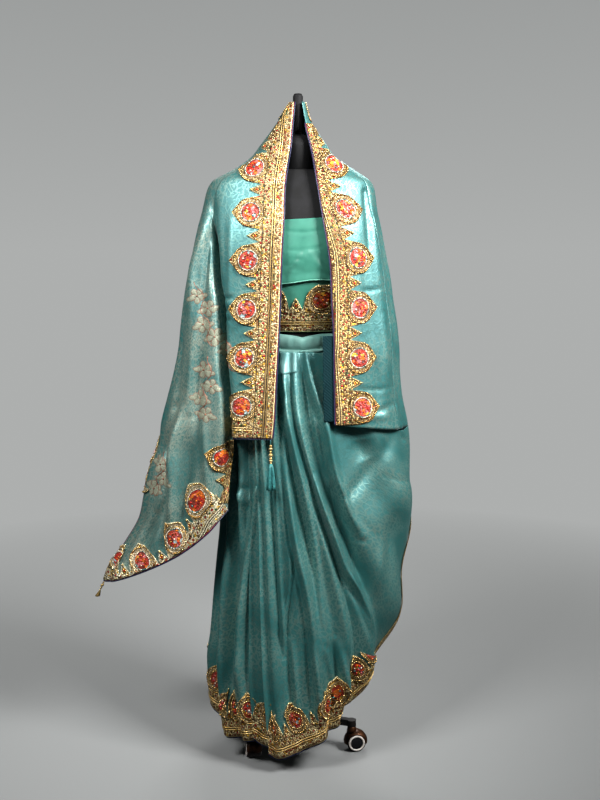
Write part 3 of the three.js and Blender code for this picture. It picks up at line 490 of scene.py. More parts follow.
def unit(vectors):
    return vectors / np.maximum(np.linalg.norm(vectors, axis=-1, keepdims=True), 1e-9)


def smoothed(values, closed=False):
    """Values averaged with their neighbours along the first axis."""
    kernel = np.hanning(19)[1:-1]
    kernel /= kernel.sum()
    pad = len(kernel) // 2
    padded = np.pad(values, ((pad, pad), (0, 0)), mode="wrap" if closed else "edge")
    return np.stack([np.convolve(padded[:, k], kernel, "valid") for k in range(values.shape[1])], 1)


def sleeve_point(share, z):
    start = -turn_at_share(CAPE.at("valley", z))
    return cape_point(mix(start, -BACK_START, share), z)


# ------------------------------------------------------------------ meshes

ROOT = "root"


def to_metres(points):
    return np.asarray(points).reshape(-1, 3) * MM + np.array([POLE[0], POLE[1], 0.0])


def new_object(name, points, faces, materials, body=ROOT, replaces=(), slot=None):
    faces = faces.tolist() if isinstance(faces, np.ndarray) else faces
    name = "fine_" + name if name in frame["nodes"] else name
    mesh = bpy.data.meshes.new(name)
    mesh.from_pydata(to_metres(points).tolist(), [], faces)
    for material in materials:
        mesh.materials.append(material)
    mesh.shade_smooth()
    made = bpy.data.objects.new(name, mesh)
    bpy.context.scene.collection.objects.link(made)
    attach(made, body)
    if replaces:
        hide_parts(*replaces)
    return made


def add_field(obj, name, values):
    """Stores a vector at each point of a mesh, for its materials to read."""
    layer = obj.data.attributes.new(name, "FLOAT_VECTOR", "POINT")
    layer.data.foreach_set("vector", np.ascontiguousarray(values, dtype=np.float32).ravel())


def grid_faces(columns, rows, closed=False):
    index = np.arange(columns * rows).reshape(columns, rows)
    if closed:
        index = np.vstack([index, index[:1]])
    corners = index[:-1, :-1], index[:-1, 1:], index[1:, 1:], index[1:, :-1]
    return np.stack(corners, -1).reshape(-1, 4)


def thicken(obj, thickness, inner_slot=0):
    shell = obj.modifiers.new("thickness", "SOLIDIFY")
    shell.thickness = thickness * MM
    shell.offset = 0
    shell.material_offset = inner_slot
    return obj


def cloth(name, points, materials, slot, closed=False, replaced=True):
    """A thin shell of cloth on a grid of columns from left to right and rows going down."""
    faces = grid_faces(*points.shape[:2], closed)
    made = new_object(name, points, faces, materials, replaces=(name,) if replaced else (), slot=slot)
    cut = np.stack([lengths(points, 0), lengths(points, 1), np.zeros(points.shape[:2])], -1)
    add_field(made, "cut", cut)
    return thicken(made, CLOTH, len(materials) - 1)


def tube(points, radius, sides=6):
    """Vertices and faces of a round cord along points, with closed ends."""
    points = np.asarray(points, float)
    heading = unit(np.gradient(points, axis=0))
    side = unit(np.cross(heading, [0.3, 0.9, 0.31]))
    up = np.cross(heading, side)
    turn = np.arange(sides) * 2 * np.pi / sides
    reach = np.asarray(radius) * np.ones(len(points))
    ring = np.cos(turn)[:, None] * side[:, None] + np.sin(turn)[:, None] * up[:, None]
    verts = points[:, None] + ring * reach[:, None, None]
    index = np.arange(len(points) * sides).reshape(-1, sides)
    around = np.roll(index, -1, axis=1)
    faces = np.stack([index[:-1], around[:-1], around[1:], index[1:]], -1).reshape(-1, 4)
    caps = [index[0][::-1].tolist(), index[-1].tolist()]
    return verts.reshape(-1, 3), faces.tolist() + caps


def joined(parts):
    """Several (vertices, faces) pairs as one."""
    verts, faces, first = [], [], 0
    for part_verts, part_faces in parts:
        verts.append(part_verts)
        faces += [[first + k for k in face] for face in part_faces]
        first += len(part_verts)
    return np.concatenate(verts), faces


def turned(profile, sides=24):
    """Vertices and faces of a lathe about Z, from (radius, height) pairs that start and end at 0."""
    profile = np.asarray(profile, float)
    ring = np.arange(sides) * 2 * np.pi / sides
    inner = profile[1:-1]
    verts = np.stack([inner[:, :1] * np.cos(ring), inner[:, :1] * np.sin(ring),
                      np.repeat(inner[:, 1:], sides, 1)], -1).reshape(-1, 3)
    ends = np.array([[0, 0, profile[0, 1]], [0, 0, profile[-1, 1]]])
    index = np.arange(len(verts)).reshape(-1, sides)
    around = np.roll(index, -1, axis=1)
    faces = np.stack([index[:-1], around[:-1], around[1:], index[1:]], -1).reshape(-1, 4).tolist()
    low, high = len(verts), len(verts) + 1
    faces += [[low, b, a] for a, b in zip(index[0], around[0])]
    faces += [[high, a, b] for a, b in zip(index[-1], around[-1])]
    return np.vstack([verts, ends]), faces


def bead_template():
    """A low round bead: an icosahedron."""
    g = (1 + 5 ** 0.5) / 2
    verts = np.array([[-1, g, 0], [1, g, 0], [-1, -g, 0], [1, -g, 0], [0, -1, g], [0, 1, g],
                      [0, -1, -g], [0, 1, -g], [g, 0, -1], [g, 0, 1], [-g, 0, -1], [-g, 0, 1]])
    faces = np.array([[0, 11, 5], [0, 5, 1], [0, 1, 7], [0, 7, 10], [0, 10, 11], [1, 5, 9],
                      [5, 11, 4], [11, 10, 2], [10, 7, 6], [7, 1, 8], [3, 9, 4], [3, 4, 2],
                      [3, 2, 6], [3, 6, 8], [3, 8, 9], [4, 9, 5], [2, 4, 11], [6, 2, 10],
                      [8, 6, 7], [9, 8, 1]])
    return verts / np.linalg.norm(verts[0]), faces


def bead_field(centres, sizes):
    """Vertices and faces of many round beads."""
    verts, faces = bead_template()
    centres, sizes = np.asarray(centres), np.asarray(sizes)
    placed = centres[:, None] + verts * sizes[:, None, None]
    index = faces[None] + (np.arange(len(centres)) * len(verts))[:, None, None]
    return placed.reshape(-1, 3), index.reshape(-1, 3)


# ------------------------------------------------------------------ materials


class Field:
    """A number over a surface, as a shader socket. Arithmetic on it adds Math nodes."""

    def __init__(self, tree, socket):
        self.tree, self.socket = tree, socket

    def op(self, kind, *values, clamp=False):
        made = self.tree.nodes.new("ShaderNodeMath")
        made.operation, made.use_clamp = kind, clamp
        for socket, value in zip(made.inputs, (self,) + values):
            feed(self.tree, socket, value)
        return Field(self.tree, made.outputs[0])

    def __add__(self, other):
        return self.op("ADD", other)

    def __sub__(self, other):
        return self.op("SUBTRACT", other)

    def __mul__(self, other):
        return self.op("MULTIPLY", other)

    def __truediv__(self, other):
        return self.op("DIVIDE", other)

    def size(self, other):
        """Length of a flat vector whose other number is given."""
        return (self * self + other * other).op("SQRT")

    def within(self, least, most):
        """1 between two limits and 0 beyond them."""
        return self.op("GREATER_THAN", least) * self.op("LESS_THAN", most)

    def ramp(self, start, end):
        """Rises from 0 to 1 between two values, or falls where the first is the larger."""
        return (self - start).op("DIVIDE", end - start, clamp=True)

    def cycle(self, pitch):
        """Distance from the middle of a repeat of a given pitch."""
        return ((self / pitch).op("FRACT") - 0.5).op("ABSOLUTE") * pitch


def feed(tree, socket, value):
    if isinstance(value, Field):
        tree.links.new(value.socket, socket)
    else:
        socket.default_value = value


def add_node(tree, kind, inputs=(), **settings):
    made = tree.nodes.new("ShaderNode" + kind)
    for key, value in settings.items():
        setattr(made, key, value)
    for key, value in dict(inputs).items():
        feed(tree, made.inputs[key], value)
    return made


def read_field(tree, name):
    made = add_node(tree, "Attribute", attribute_name=name)
    return Field(tree, made.outputs["Vector"])


def parts_of(vector):
    made = add_node(vector.tree, "SeparateXYZ", {0: vector})
    return [Field(vector.tree, made.outputs[k]) for k in range(3)]


def cells(vector, size, feature="F1", randomness=1.0):
    """Distance and colour of cells of a given size."""
    made = add_node(vector.tree, "TexVoronoi", {"Vector": vector, "Scale": 1 / size,
                                                "Randomness": randomness},
                    feature=feature, voronoi_dimensions="2D")
    pick = None if feature != "F1" else parts_of(Field(vector.tree, made.outputs["Color"]))[0]
    return Field(vector.tree, made.outputs["Distance"]), pick


def scaled(vector, factor):
    made = add_node(vector.tree, "VectorMath", {0: vector}, operation="SCALE")
    made.inputs["Scale"].default_value = factor
    return Field(vector.tree, made.outputs[0])


def place_in_millimetres(tree):
    return scaled(Field(tree, add_node(tree, "TexCoord").outputs["Object"]), 1 / MM)


def clouds(vector, size, detail=2.0):
    """Brightness and colour of soft noise of a given size."""
    made = add_node(vector.tree, "TexNoise", {"Vector": vector, "Scale": 1 / size,
                                              "Detail": detail}, noise_dimensions="3D")
    return Field(vector.tree, made.outputs[0]), Field(vector.tree, made.outputs[1])


def blended(tree, share, low, high):
    made = add_node(tree, "Mix", {0: share, 6: low, 7: high}, data_type="RGBA")
    return Field(tree, made.outputs[2])


def stepped(field, stops):
    """Colour and opacity that change in steps, at stops of (place, colour, opacity)."""
    made = add_node(field.tree, "ValToRGB", {0: field})
    ramp = made.color_ramp
    ramp.interpolation = "CONSTANT"
    ramp.elements.remove(ramp.elements[1])
    for k, (place, shade, *opacity) in enumerate(stops):
        element = ramp.elements[0] if k == 0 else ramp.elements.new(place)
        element.position = place
        element.color = (*shade[:3], opacity[0] if opacity else 1.0)
    return Field(field.tree, made.outputs[0]), Field(field.tree, made.outputs[1])


def new_material(name, base=(0.5, 0.5, 0.5, 1), roughness=0.5, metallic=0.0, **settings):
    made = bpy.data.materials.new(name)
    made.use_nodes = True
    tree = made.node_tree
    shader = tree.nodes["Principled BSDF"]
    feed(tree, shader.inputs["Base Color"], base)
    shader.inputs["Roughness"].default_value = roughness
    shader.inputs["Metallic"].default_value = metallic
    for key, value in settings.items():
        shader.inputs[key.replace("_", " ")].default_value = value
    return made, tree, shader


def raise_surface(tree, shader, height, depth, strength=1.0):
    """Bump of a given depth in millimetres."""
    made = add_node(tree, "Bump", {"Height": height, "Distance": depth * MM, "Strength": strength})
    tree.links.new(made.outputs[0], shader.inputs["Normal"])


def colour(red, green, blue):
    return (red, green, blue, 1.0)


PALE_GOLD, GOLD = colour(0.82, 0.60, 0.26), colour(0.50, 0.29, 0.06)
DEEP_GOLD, BROWN, PEARL = colour(0.20, 0.085, 0.015), colour(0.075, 0.036, 0.014), colour(0.86, 0.76, 0.62)
RED, CRIMSON, ORANGE = colour(0.48, 0.02, 0.012), colour(0.22, 0.008, 0.010), colour(0.78, 0.16, 0.01)
PINK, YELLOW, ICE = colour(0.66, 0.16, 0.16), colour(0.85, 0.48, 0.04), colour(0.42, 0.58, 0.60)
GREEN, TEAL, DARK = colour(0.03, 0.13, 0.05), colour(0.02, 0.17, 0.17), colour(0.030, 0.016, 0.009)


def silk(name, ground, figure, glint, faint=0.07, zari=0.15):
    """Silk jacquard: a tonal vine of metallic threads on a plain satin ground. The high index of
    refraction stands for the broad pale shine of the floating threads, faint is how much the
    figures show where they lie thinly, and zari how many bare metal threads run between them."""
    made, tree, shader = new_material(name, IOR=2.0, Specular_Tint=colour(0.55, 0.98, 1.0),
                                      Sheen_Weight=0.05, Sheen_Roughness=0.4)
    cut = read_field(tree, "cut")
    _, drift = clouds(cut, 22, 2)
    moved = add_node(tree, "VectorMath", {0: cut, 1: scaled(drift, 16)})
    warped = Field(tree, moved.outputs[0])
    vine = cells(warped, 16, "DISTANCE_TO_EDGE")[0].ramp(0.12, 0.06)
    leaf_distance, leaf_pick = cells(warped, 8.5)
    leaf = leaf_distance.ramp(0.42, 0.32) * leaf_pick.op("GREATER_THAN", 0.35)
    figures = vine.op("MAXIMUM", leaf)
    grain_distance, thread = cells(cut, 2.0)
    tone, _ = clouds(cut, 150, 2)
    dense = tone.ramp(0.38, 0.66)
    mottle, _ = clouds(cut, 3.2, 2)
    drawn = add_node(tree, "VectorMath", {0: cut}, operation="MULTIPLY")
    drawn.inputs[1].default_value = (1, 0.25, 1)
    streak, _ = clouds(Field(tree, drawn.outputs[0]), 1.5, 1)
    threads = streak.ramp(0.46, 0.62) * (dense * 0.85 + 0.15) * zari
    if zari > 0.5:
        threads = threads * parts_of(cut)[0].ramp(20, 95)
    body = blended(tree, dense * 0.25, ground, figure)
    body = blended(tree, mottle.ramp(0.56, 0.40) * 0.45, body, colour(0.002, 0.045, 0.042))
    body = blended(tree, figures * (dense * 0.45 + faint), body, glint)
    body = blended(tree, threads, body, glint)
    feed(tree, shader.inputs["Base Color"], body)
    feed(tree, shader.inputs["Metallic"], (figures * (dense * 0.30 + 0.40)).op("MAXIMUM", threads))
    feed(tree, shader.inputs["Roughness"], figures * -0.10 + thread * 0.10 + 0.46)
    raise_surface(tree, shader, figures * 0.6 + grain_distance * 0.3, 0.30, 0.6)
    return made


def embroidery(name, pale, gold, deep, shadow, core=1.0):
    """Metal-thread work: beads over everything, rings and petals in the medallions, and the band's
    lines. shadow is how much the beads darken in random patches and, as painted shade, in the gaps
    between them; core how bright the red is."""
    made, tree, shader = new_material(name, roughness=0.33)
    band = read_field(tree, "band")
    along, inward, _ = parts_of(band)
    beside, above, rim = parts_of(read_field(tree, "motif"))
    ring = beside.size(above) / MEDAL_RADIUS
    distance, pick = cells(band, 4.6, randomness=0.85)
    beads, _ = stepped(pick, [(0, pale), (0.34, gold), (0.50, deep), (0.58, pale), (0.74, RED),
                              (0.80, GREEN), (0.86, YELLOW), (0.95, BROWN)])
    patch, _ = clouds(band, 9, 1)
    beads = blended(tree, patch.ramp(0.50, 0.66) * shadow, beads, deep)
    # Painted shade mask: 1 in the gaps between the beads.
    gap_shade = distance.ramp(0.36, 0.50)

    # Lines that follow the band, and the half circles and diamonds between them.
    lines, lines_on = stepped(inward / 50, [
        (0, pale, 1), (0.04, DARK, 0), (0.315, DARK, 0.85), (0.34, pale, 1), (0.385, DARK, 0.95),
        (0.445, pale, 1), (0.495, DARK, 0.85), (0.53, gold, 0), (0.88, DARK, 0.8), (0.93, gold, 0)])
    arch = along.cycle(19).size(inward - 4.0)
    arches, arches_on = stepped(arch / 12, [
        (0, RED, 0.8), (0.14, deep, 0.8), (0.34, BROWN, 0.8), (0.44, pale, 0.9), (0.62, BROWN, 0.5),
        (0.72, gold, 0)])
    beads = blended(tree, arches_on * inward.within(1.8, 14.5), beads, arches)
    diamond = (along.cycle(21) + (inward - 35).op("ABSOLUTE")) / 12
    diamonds, diamonds_on = stepped(diamond, [
        (0, RED, 1), (0.22, DARK, 0.9), (0.34, pale, 0.9), (0.58, DARK, 0.55), (0.68, gold, 0)])
    beads = blended(tree, diamonds_on * inward.within(26, 45), beads, diamonds)

    # The kite halfway between two medallions, and the corded rim.
    kite = ((beside - PITCH / 2).op("ABSOLUTE") + (inward - 63).op("ABSOLUTE") * 0.68) / 14
    kites, kites_on = stepped(kite, [
        (0, RED, 1), (0.24, YELLOW, 1), (0.34, DARK, 1), (0.52, pale, 1), (0.8, DARK, 0.8),
        (0.92, gold, 0)])
    beads = blended(tree, kites_on * inward.op("GREATER_THAN", 47), beads, kites)
    rims, rims_on = stepped(rim / 8, [(0, pale, 1), (0.36, DARK, 0.85), (0.52, gold, 0)])
    beads = blended(tree, rims_on * inward.op("GREATER_THAN", 47) * 0.9, beads, rims)

    # The medallion's rings, and the petals in its middle.
    inner_ring = PEARL if core > 0.5 else gold
    rings, rings_on = stepped(ring, [
        (0, RED, 0), (0.56, DARK, 1), (0.59, inner_ring, 1), (0.655, deep, 0.9), (0.685, gold, 0.2),
        (0.755, DARK, 0.9), (0.785, pale, 0.9), (0.85, deep, 0.7), (0.88, gold, 0.2),
        (0.955, DARK, 0.7), (1.0, gold, 0)])
    beads = blended(tree, rings_on, beads, rings)
    spoke = (above.op("ARCTAN2", beside) / (2 * math.pi / 30)).op("FRACT")
    beads = blended(tree, spoke.op("GREATER_THAN", 0.62) * ring.within(0.60, 0.96) * 0.45, beads, deep)
    # Painted shade: the gaps between the beads are darkened towards brown.
    beads = blended(tree, gap_shade * shadow, beads, BROWN)
    beads = blended(tree, lines_on, beads, lines)
    _, petal = cells(band, 8.0)
    edge, _ = cells(band, 8.0, "DISTANCE_TO_EDGE")
    petals, _ = stepped(petal, [(0, RED), (0.30, ORANGE), (0.48, CRIMSON), (0.62, YELLOW),
                                (0.72, RED), (0.90, PINK), (0.965, ICE)])
    petals = blended(tree, edge.ramp(0.09, 0.04) * 0.75, petals, DARK)
    petals = blended(tree, core, colour(0.075, 0.004, 0.004), petals)
    middle = ring.op("LESS_THAN", 0.56)
    whole = blended(tree, middle * 0.95, beads, petals)
    feed(tree, shader.inputs["Base Color"], whole)
    feed(tree, shader.inputs["Metallic"], middle * -0.45 + 0.5)
    raise_surface(tree, shader, distance.ramp(0.5, 0.0) + pick * 0.6, 1.1, 0.9)
    return made


def bead_material():
    """Beads whose tint picks metal, stone or pearl."""
    made, tree, shader = new_material("beads", roughness=0.22)
    tint, _, _ = parts_of(read_field(tree, "tint"))
    shade, _ = stepped(tint, [(0, PALE_GOLD), (0.35, GOLD), (0.62, DEEP_GOLD), (0.72, RED),
                              (0.80, ORANGE), (0.86, PINK), (0.91, TEAL), (0.95, PEARL)])
    feed(tree, shader.inputs["Base Color"], shade)
    feed(tree, shader.inputs["Metallic"], tint.op("LESS_THAN", 0.72) * 0.8)
    return made


def petal_material():
    """Silver thread that turns brown towards the outline of each petal."""
    made, tree, shader = new_material("silver_work", roughness=0.58, metallic=0.25)
    tint, _, _ = parts_of(read_field(tree, "tint"))
    stitches, _ = clouds(place_in_millimetres(tree), 1.6, 2)
    shade = blended(tree, stitches.ramp(0.35, 0.7), colour(0.17, 0.20, 0.14), colour(0.42, 0.42, 0.31))
    feed(tree, shader.inputs["Base Color"], blended(tree, tint.ramp(0.64, 0.86) * 0.85, shade,
                                                    colour(0.20, 0.085, 0.05)))
    raise_surface(tree, shader, stitches, 0.5, 0.5)
    return made


def satin(name, base, lighter, metallic=0.1):
    made, tree, shader = new_material(name, roughness=0.38, metallic=metallic, Sheen_Weight=0.3,
                                      Sheen_Roughness=0.4, Sheen_Tint=colour(0.6, 1, 0.9))
    cut = read_field(tree, "cut")
    tone, _ = clouds(cut, 40, 3)
    weave, _ = clouds(cut, 1.2, 1)
    feed(tree, shader.inputs["Base Color"], blended(tree, tone.ramp(0.3, 0.8), base, lighter))
    raise_surface(tree, shader, weave, 0.12, 0.5)
    return made


def worn(name, base, other, roughness, metallic=0.0, grain=3.0, depth=0.1, **settings):
    """A hard or plain finish with a fine grain and slight changes of tone."""
    made, tree, shader = new_material(name, roughness=roughness, metallic=metallic, **settings)
    place = place_in_millimetres(tree)
    tone, _ = clouds(place, 12 * grain, 4)
    fine, _ = clouds(place, grain, 3)
    feed(tree, shader.inputs["Base Color"], blended(tree, tone.ramp(0.35, 0.7), base, other))
    feed(tree, shader.inputs["Roughness"], fine * 0.16 + (roughness - 0.08))
    raise_surface(tree, shader, fine, depth, 0.4)
    return made


def ribbed(name, base, lighter):
    made, tree, shader = new_material(name, roughness=0.7, Specular_IOR_Level=0.08)
    across, down, _ = parts_of(read_field(tree, "cut"))
    rib = (down / 3.2 + across / 9).op("FRACT")
    feed(tree, shader.inputs["Base Color"], blended(tree, rib, base, lighter))
    raise_surface(tree, shader, rib, 0.6, 0.7)
    return made


SILK = silk("silk", colour(0.010, 0.105, 0.100), colour(0.03, 0.17, 0.155), colour(0.38, 0.58, 0.50))
PALLU_SILK = silk("silk_pallu", colour(0.014, 0.105, 0.098), colour(0.10, 0.19, 0.16),
                  colour(0.55, 0.62, 0.50), 0.12, 0.85)
WRONG_SIDE = satin("silk_wrong_side", colour(0.015, 0.09, 0.10), colour(0.04, 0.17, 0.18))
PALE_WORK = embroidery("gold_work_pale", colour(0.80, 0.61, 0.30), colour(0.54, 0.35, 0.11),
                       colour(0.22, 0.10, 0.028), 0.65)
# Painted light: a brighter copy of the gold work for the pallu's end and outer edge, standing in for the
# light that falls there.
PAINTED_LIT_WORK = embroidery("gold_work_painted_lit", colour(0.98, 0.88, 0.60), colour(0.80, 0.62, 0.28),
                        colour(0.42, 0.22, 0.07), 0.35)
# Painted shade: a darker, browner copy of the gold work for the right border and the band in the deep
# fold, standing in for the shade there.
PAINTED_SHADE_WORK = embroidery("gold_work_painted_shade", colour(0.66, 0.46, 0.18), colour(0.38, 0.21, 0.055),
                        colour(0.13, 0.052, 0.014), 0.75)
# Painted highlight and shade: a copy of the gold work for the hems and the bandeau's border, with brighter
# pale beads as painted highlights, and darker gaps and red cores as painted shade.
PAINTED_CONTRAST_WORK = embroidery("gold_work_painted_contrast", colour(1.0, 0.82, 0.42), colour(0.62, 0.36, 0.07),
                       colour(0.16, 0.045, 0.012), 0.8, 0.45)
BEADS = bead_material()
CORD = worn("gold_cord", PALE_GOLD, GOLD, 0.3, 0.75, 1.2, 0.2)
NAVY = worn("piping_navy", colour(0.012, 0.014, 0.05), colour(0.02, 0.03, 0.08), 0.45, 0, 1.5)
MAGENTA = worn("piping_magenta", colour(0.30, 0.01, 0.06), colour(0.45, 0.03, 0.09), 0.45, 0, 1.5)
BANDEAU = satin("bandeau_green", colour(0.03, 0.165, 0.115), colour(0.06, 0.25, 0.18), 0.0)
# Painted highlight: a paler satin for the rim along the bandeau flap's hem, standing in for the shine of
# its rolled edge.
BANDEAU_PAINTED_HIGHLIGHT = satin("bandeau_rim_painted_highlight", colour(0.10, 0.36, 0.26), colour(0.20, 0.52, 0.40), 0.0)
WAIST = satin("waist_satin", colour(0.13, 0.32, 0.28), colour(0.28, 0.50, 0.44), 0.25)
# Painted sheen: a paler copy of the satin for the outermost pleat's flat face.
PAINTED_SHEEN_PATCH = satin("pleat_patch_painted_sheen", colour(0.09, 0.27, 0.26), colour(0.26, 0.48, 0.45), 0.25)
BUTTA = petal_material()
BUTTA_EYE = worn("copper_work", colour(0.38, 0.13, 0.07), colour(0.18, 0.05, 0.03), 0.4, 0.3, 1.5, 0.4)
TURNBACK = ribbed("turned_edge", colour(0.001, 0.004, 0.006), colour(0.006, 0.040, 0.046))
THREAD = worn("tassel_thread", colour(0.02, 0.14, 0.14), colour(0.06, 0.28, 0.27), 0.45, 0, 0.8)
COVER = worn("form_cover", colour(0.003, 0.003, 0.003), colour(0.007, 0.007, 0.008), 0.7, 0, 2.0,
             Specular_IOR_Level=0.25)
STAND = worn("stand_metal", colour(0.010, 0.009, 0.009), colour(0.025, 0.020, 0.018), 0.38, 0.4, 2.5)
BRONZE = worn("caster_bronze", colour(0.010, 0.005, 0.003), colour(0.16, 0.062, 0.026), 0.34, 0.7, 1.6)
TYRE = worn("wheel_tyre", colour(0.014, 0.008, 0.006), colour(0.03, 0.016, 0.011), 0.5, 0, 3.0)
DISC = worn("wheel_gloss", colour(0.010, 0.010, 0.011), colour(0.02, 0.02, 0.022), 0.14, 0.1, 6.0, 0.02)
RING = worn("wheel_ring", colour(0.80, 0.70, 0.62), colour(0.92, 0.86, 0.80), 0.35, 0.0, 3.0)


# ------------------------------------------------------------------ borders


def border_outline(beside):
    """Width of a border at a distance along it from the nearest medallion's middle."""
    x = np.abs(beside)
    point = MEDAL_RADIUS / math.sin(MEDAL_SLOPE) - x / math.tan(MEDAL_SLOPE)
    circle = np.sqrt(np.maximum(MEDAL_RADIUS ** 2 - x ** 2, 0))
    medal = MEDAL_CENTRE + np.where(x < MEDAL_RADIUS * math.cos(MEDAL_SLOPE), point, circle)
    shoulder = BAND_WIDTH + (MEDAL_CENTRE - BAND_WIDTH) * (1 - smooth_step(0, 6, x - MEDAL_RADIUS))
    kite = np.clip(1 - np.abs(x - PITCH / 2) / 16, 0, 1)
    return np.where(x < MEDAL_RADIUS, medal, shoulder) + 36 * kite


def border_relief(beside, inward, width):
    """How far the raised work stands above its band."""
    ring = np.hypot(beside, inward - MEDAL_CENTRE)
    relief = 1.3 * bump(ring - 0.94 * MEDAL_RADIUS, 2.2) + 0.9 * bump(ring - 0.62 * MEDAL_RADIUS, 2)
    relief += 2.0 * np.clip(1 - (ring / (0.52 * MEDAL_RADIUS)) ** 2, 0, 1) ** 0.7
    return relief + 0.7 * bump(width - inward, 2.2)


def medallion_beads():
    """Places and sizes of a medallion's beads, about its middle."""
    rows = []
    for share, pitch, size, low, high in ((0.94, 4.3, 1.7, 0, 0.7), (0.62, 3.8, 1.5, 0.93, 1.0),
                                          (0.33, 7.2, 2.2, 0.6, 1), (0.0, 1, 2.6, 0.7, 1)):
        radius = share * MEDAL_RADIUS
        count = max(1, round(2 * math.pi * radius / pitch))
        for k in range(count):
            turn = 2 * math.pi * k / count
            rows.append((radius * math.cos(turn), radius * math.sin(turn), size, low, high))
    reach = MEDAL_RADIUS / math.sin(MEDAL_SLOPE) - 3
    for side in (-1, 1):
        for k in range(6):
            out = MEDAL_RADIUS * math.cos(MEDAL_SLOPE) * k / 6
            rows.append((side * out, reach - out / math.tan(MEDAL_SLOPE), 1.6, 0, 0.6))
    kite = [(PITCH / 2, 0.0, 3.6, 0.0, 0.35)]
    for k in range(8):
        turn = 2 * math.pi * k / 8
        kite.append((PITCH / 2 + 6 * math.cos(turn), 57 - MEDAL_CENTRE + 8 * math.sin(turn), 1.4, 0, 0.4))
    return np.array(rows + kite)


def place_on(rows, start, along, inward):
    """Points of a border's surface at distances along it and inward from its edge."""
    reach = lengths(rows, 1)
    i = np.clip(np.searchsorted(start, along) - 1, 0, len(start) - 2)
    share = (along - start[i]) / (start[i + 1] - start[i])
    out = np.empty((len(along), 3))
    for k, (row, part, depth) in enumerate(zip(i, share, inward)):
        near, far = ([np.interp(depth, reach[r], rows[r, :, axis]) for axis in range(3)]
                     for r in (row, row + 1))
        out[k] = mix(np.array(near), np.array(far), part)
    return out


def lifted(rows, start, along, inward, height):
    """Points over a border's surface, raised along its normal."""
    here = place_on(rows, start, along, inward)
    ahead = place_on(rows, start, along + 1.5, inward) - here
    deeper = place_on(rows, start, along, inward + 1.5) - here
    normal = unit(np.cross(ahead, deeper))
    outward = np.sum(normal[:, :2] * here[:, :2], axis=1, keepdims=True)
    return here + normal * np.where(outward < 0, -1, 1) * np.reshape(height, (-1, 1))


def border(name, rows, material, first, squeeze=1.0, closed=False, most=None, plain=False, node=None,
           seed=1, piping=True, folded=0.0):
    """A raised band along an edge, whose rows of points run from the edge into the cloth. first is
    where its first medallion is, squeeze how much narrower its repeat is than the full one, and
    folded how much of its outer part is turned under, all along or as places and amounts."""
    start = lengths(rows[:, 0], 0)
    folded = np.interp(start, *np.transpose(folded)) if np.ndim(folded) else np.full(start.shape, folded)
    if closed:
        total = start[-1] + np.linalg.norm(rows[0, 0] - rows[-1, 0])
        squeeze = total / PITCH / round(total / PITCH / squeeze)
    beside = (start - first) / squeeze
    beside = beside - PITCH * np.round(beside / PITCH)
    width = np.full(start.shape, BAND_WIDTH) if plain else border_outline(beside)
    room = np.maximum(lengths(rows, 1)[:, -1] - 1, 0) + folded
    width = np.minimum(width, room if most is None else np.minimum(room, most))
    steps = np.concatenate([np.linspace(0, 0.4, 7), np.linspace(0.4, 1, 13)[1:]])
    inward = folded[:, None] + (width - folded)[:, None] * steps
    base = spread(rows, inward - folded[:, None])
    across = np.broadcast_to(beside[:, None], inward.shape)
    relief = border_relief(across, inward, width[:, None]) * (0 if plain else 1)
    points = base + normals(base, closed) * (BAND_LIFT + relief)[..., None]
    faces = grid_faces(*points.shape[:2], closed)
    facing = np.cross(np.gradient(points, axis=1), np.gradient(points, axis=0))
    flat_points = points.reshape(-1, 3)
    corners = flat_points[faces]
    area = np.linalg.norm(np.cross(corners[:, 2] - corners[:, 0], corners[:, 3] - corners[:, 1]), axis=1)
    used, faces = np.unique(faces[area > 0.2], return_inverse=True)
    faces = faces.reshape(-1, 4)
    if not faces_out(facing, points):
        faces = faces[:, ::-1]
    made = new_object(name, flat_points[used], faces, [material], replaces=(node,) if node else (),
                      slot="gold_embroidery")
    along = np.broadcast_to((start / squeeze)[:, None], inward.shape)
    add_field(made, "band", np.stack([along, inward, 0 * inward], -1).reshape(-1, 3)[used])
    hidden = UNLIMITED if plain else 0.0
    motif = np.stack([np.abs(across) + hidden, inward - MEDAL_CENTRE, width[:, None] - inward], -1)
    add_field(made, "motif", motif.reshape(-1, 3)[used])
    thicken(made, BAND)
    extras = [add_cords(name + "_cords", rows, start, width, folded)]
    if not plain:
        extras.append(add_beads(name + "_beads", rows, start, width, first, squeeze, seed, folded,
                                material is not PAINTED_CONTRAST_WORK))
    if piping:
        extras += add_piping(name, rows)
    return [made, *(extra for extra in extras if extra)]


def add_cords(name, rows, start, width, folded):
    """The two gold cords that run side by side along a border."""
    inside = slice(2, -2)
    parts = []
    for line in CORD_LINES:
        if line < folded.max():
            continue
        depth = (np.minimum(line, width - 1) - folded)[inside]
        path = lifted(rows, start, start[inside], depth, BAND_LIFT + 1.0)
        parts.append(tube(path, 1.05, 5))
    return new_object(name, *joined(parts), [CORD], slot="gold_embroidery") if parts else None


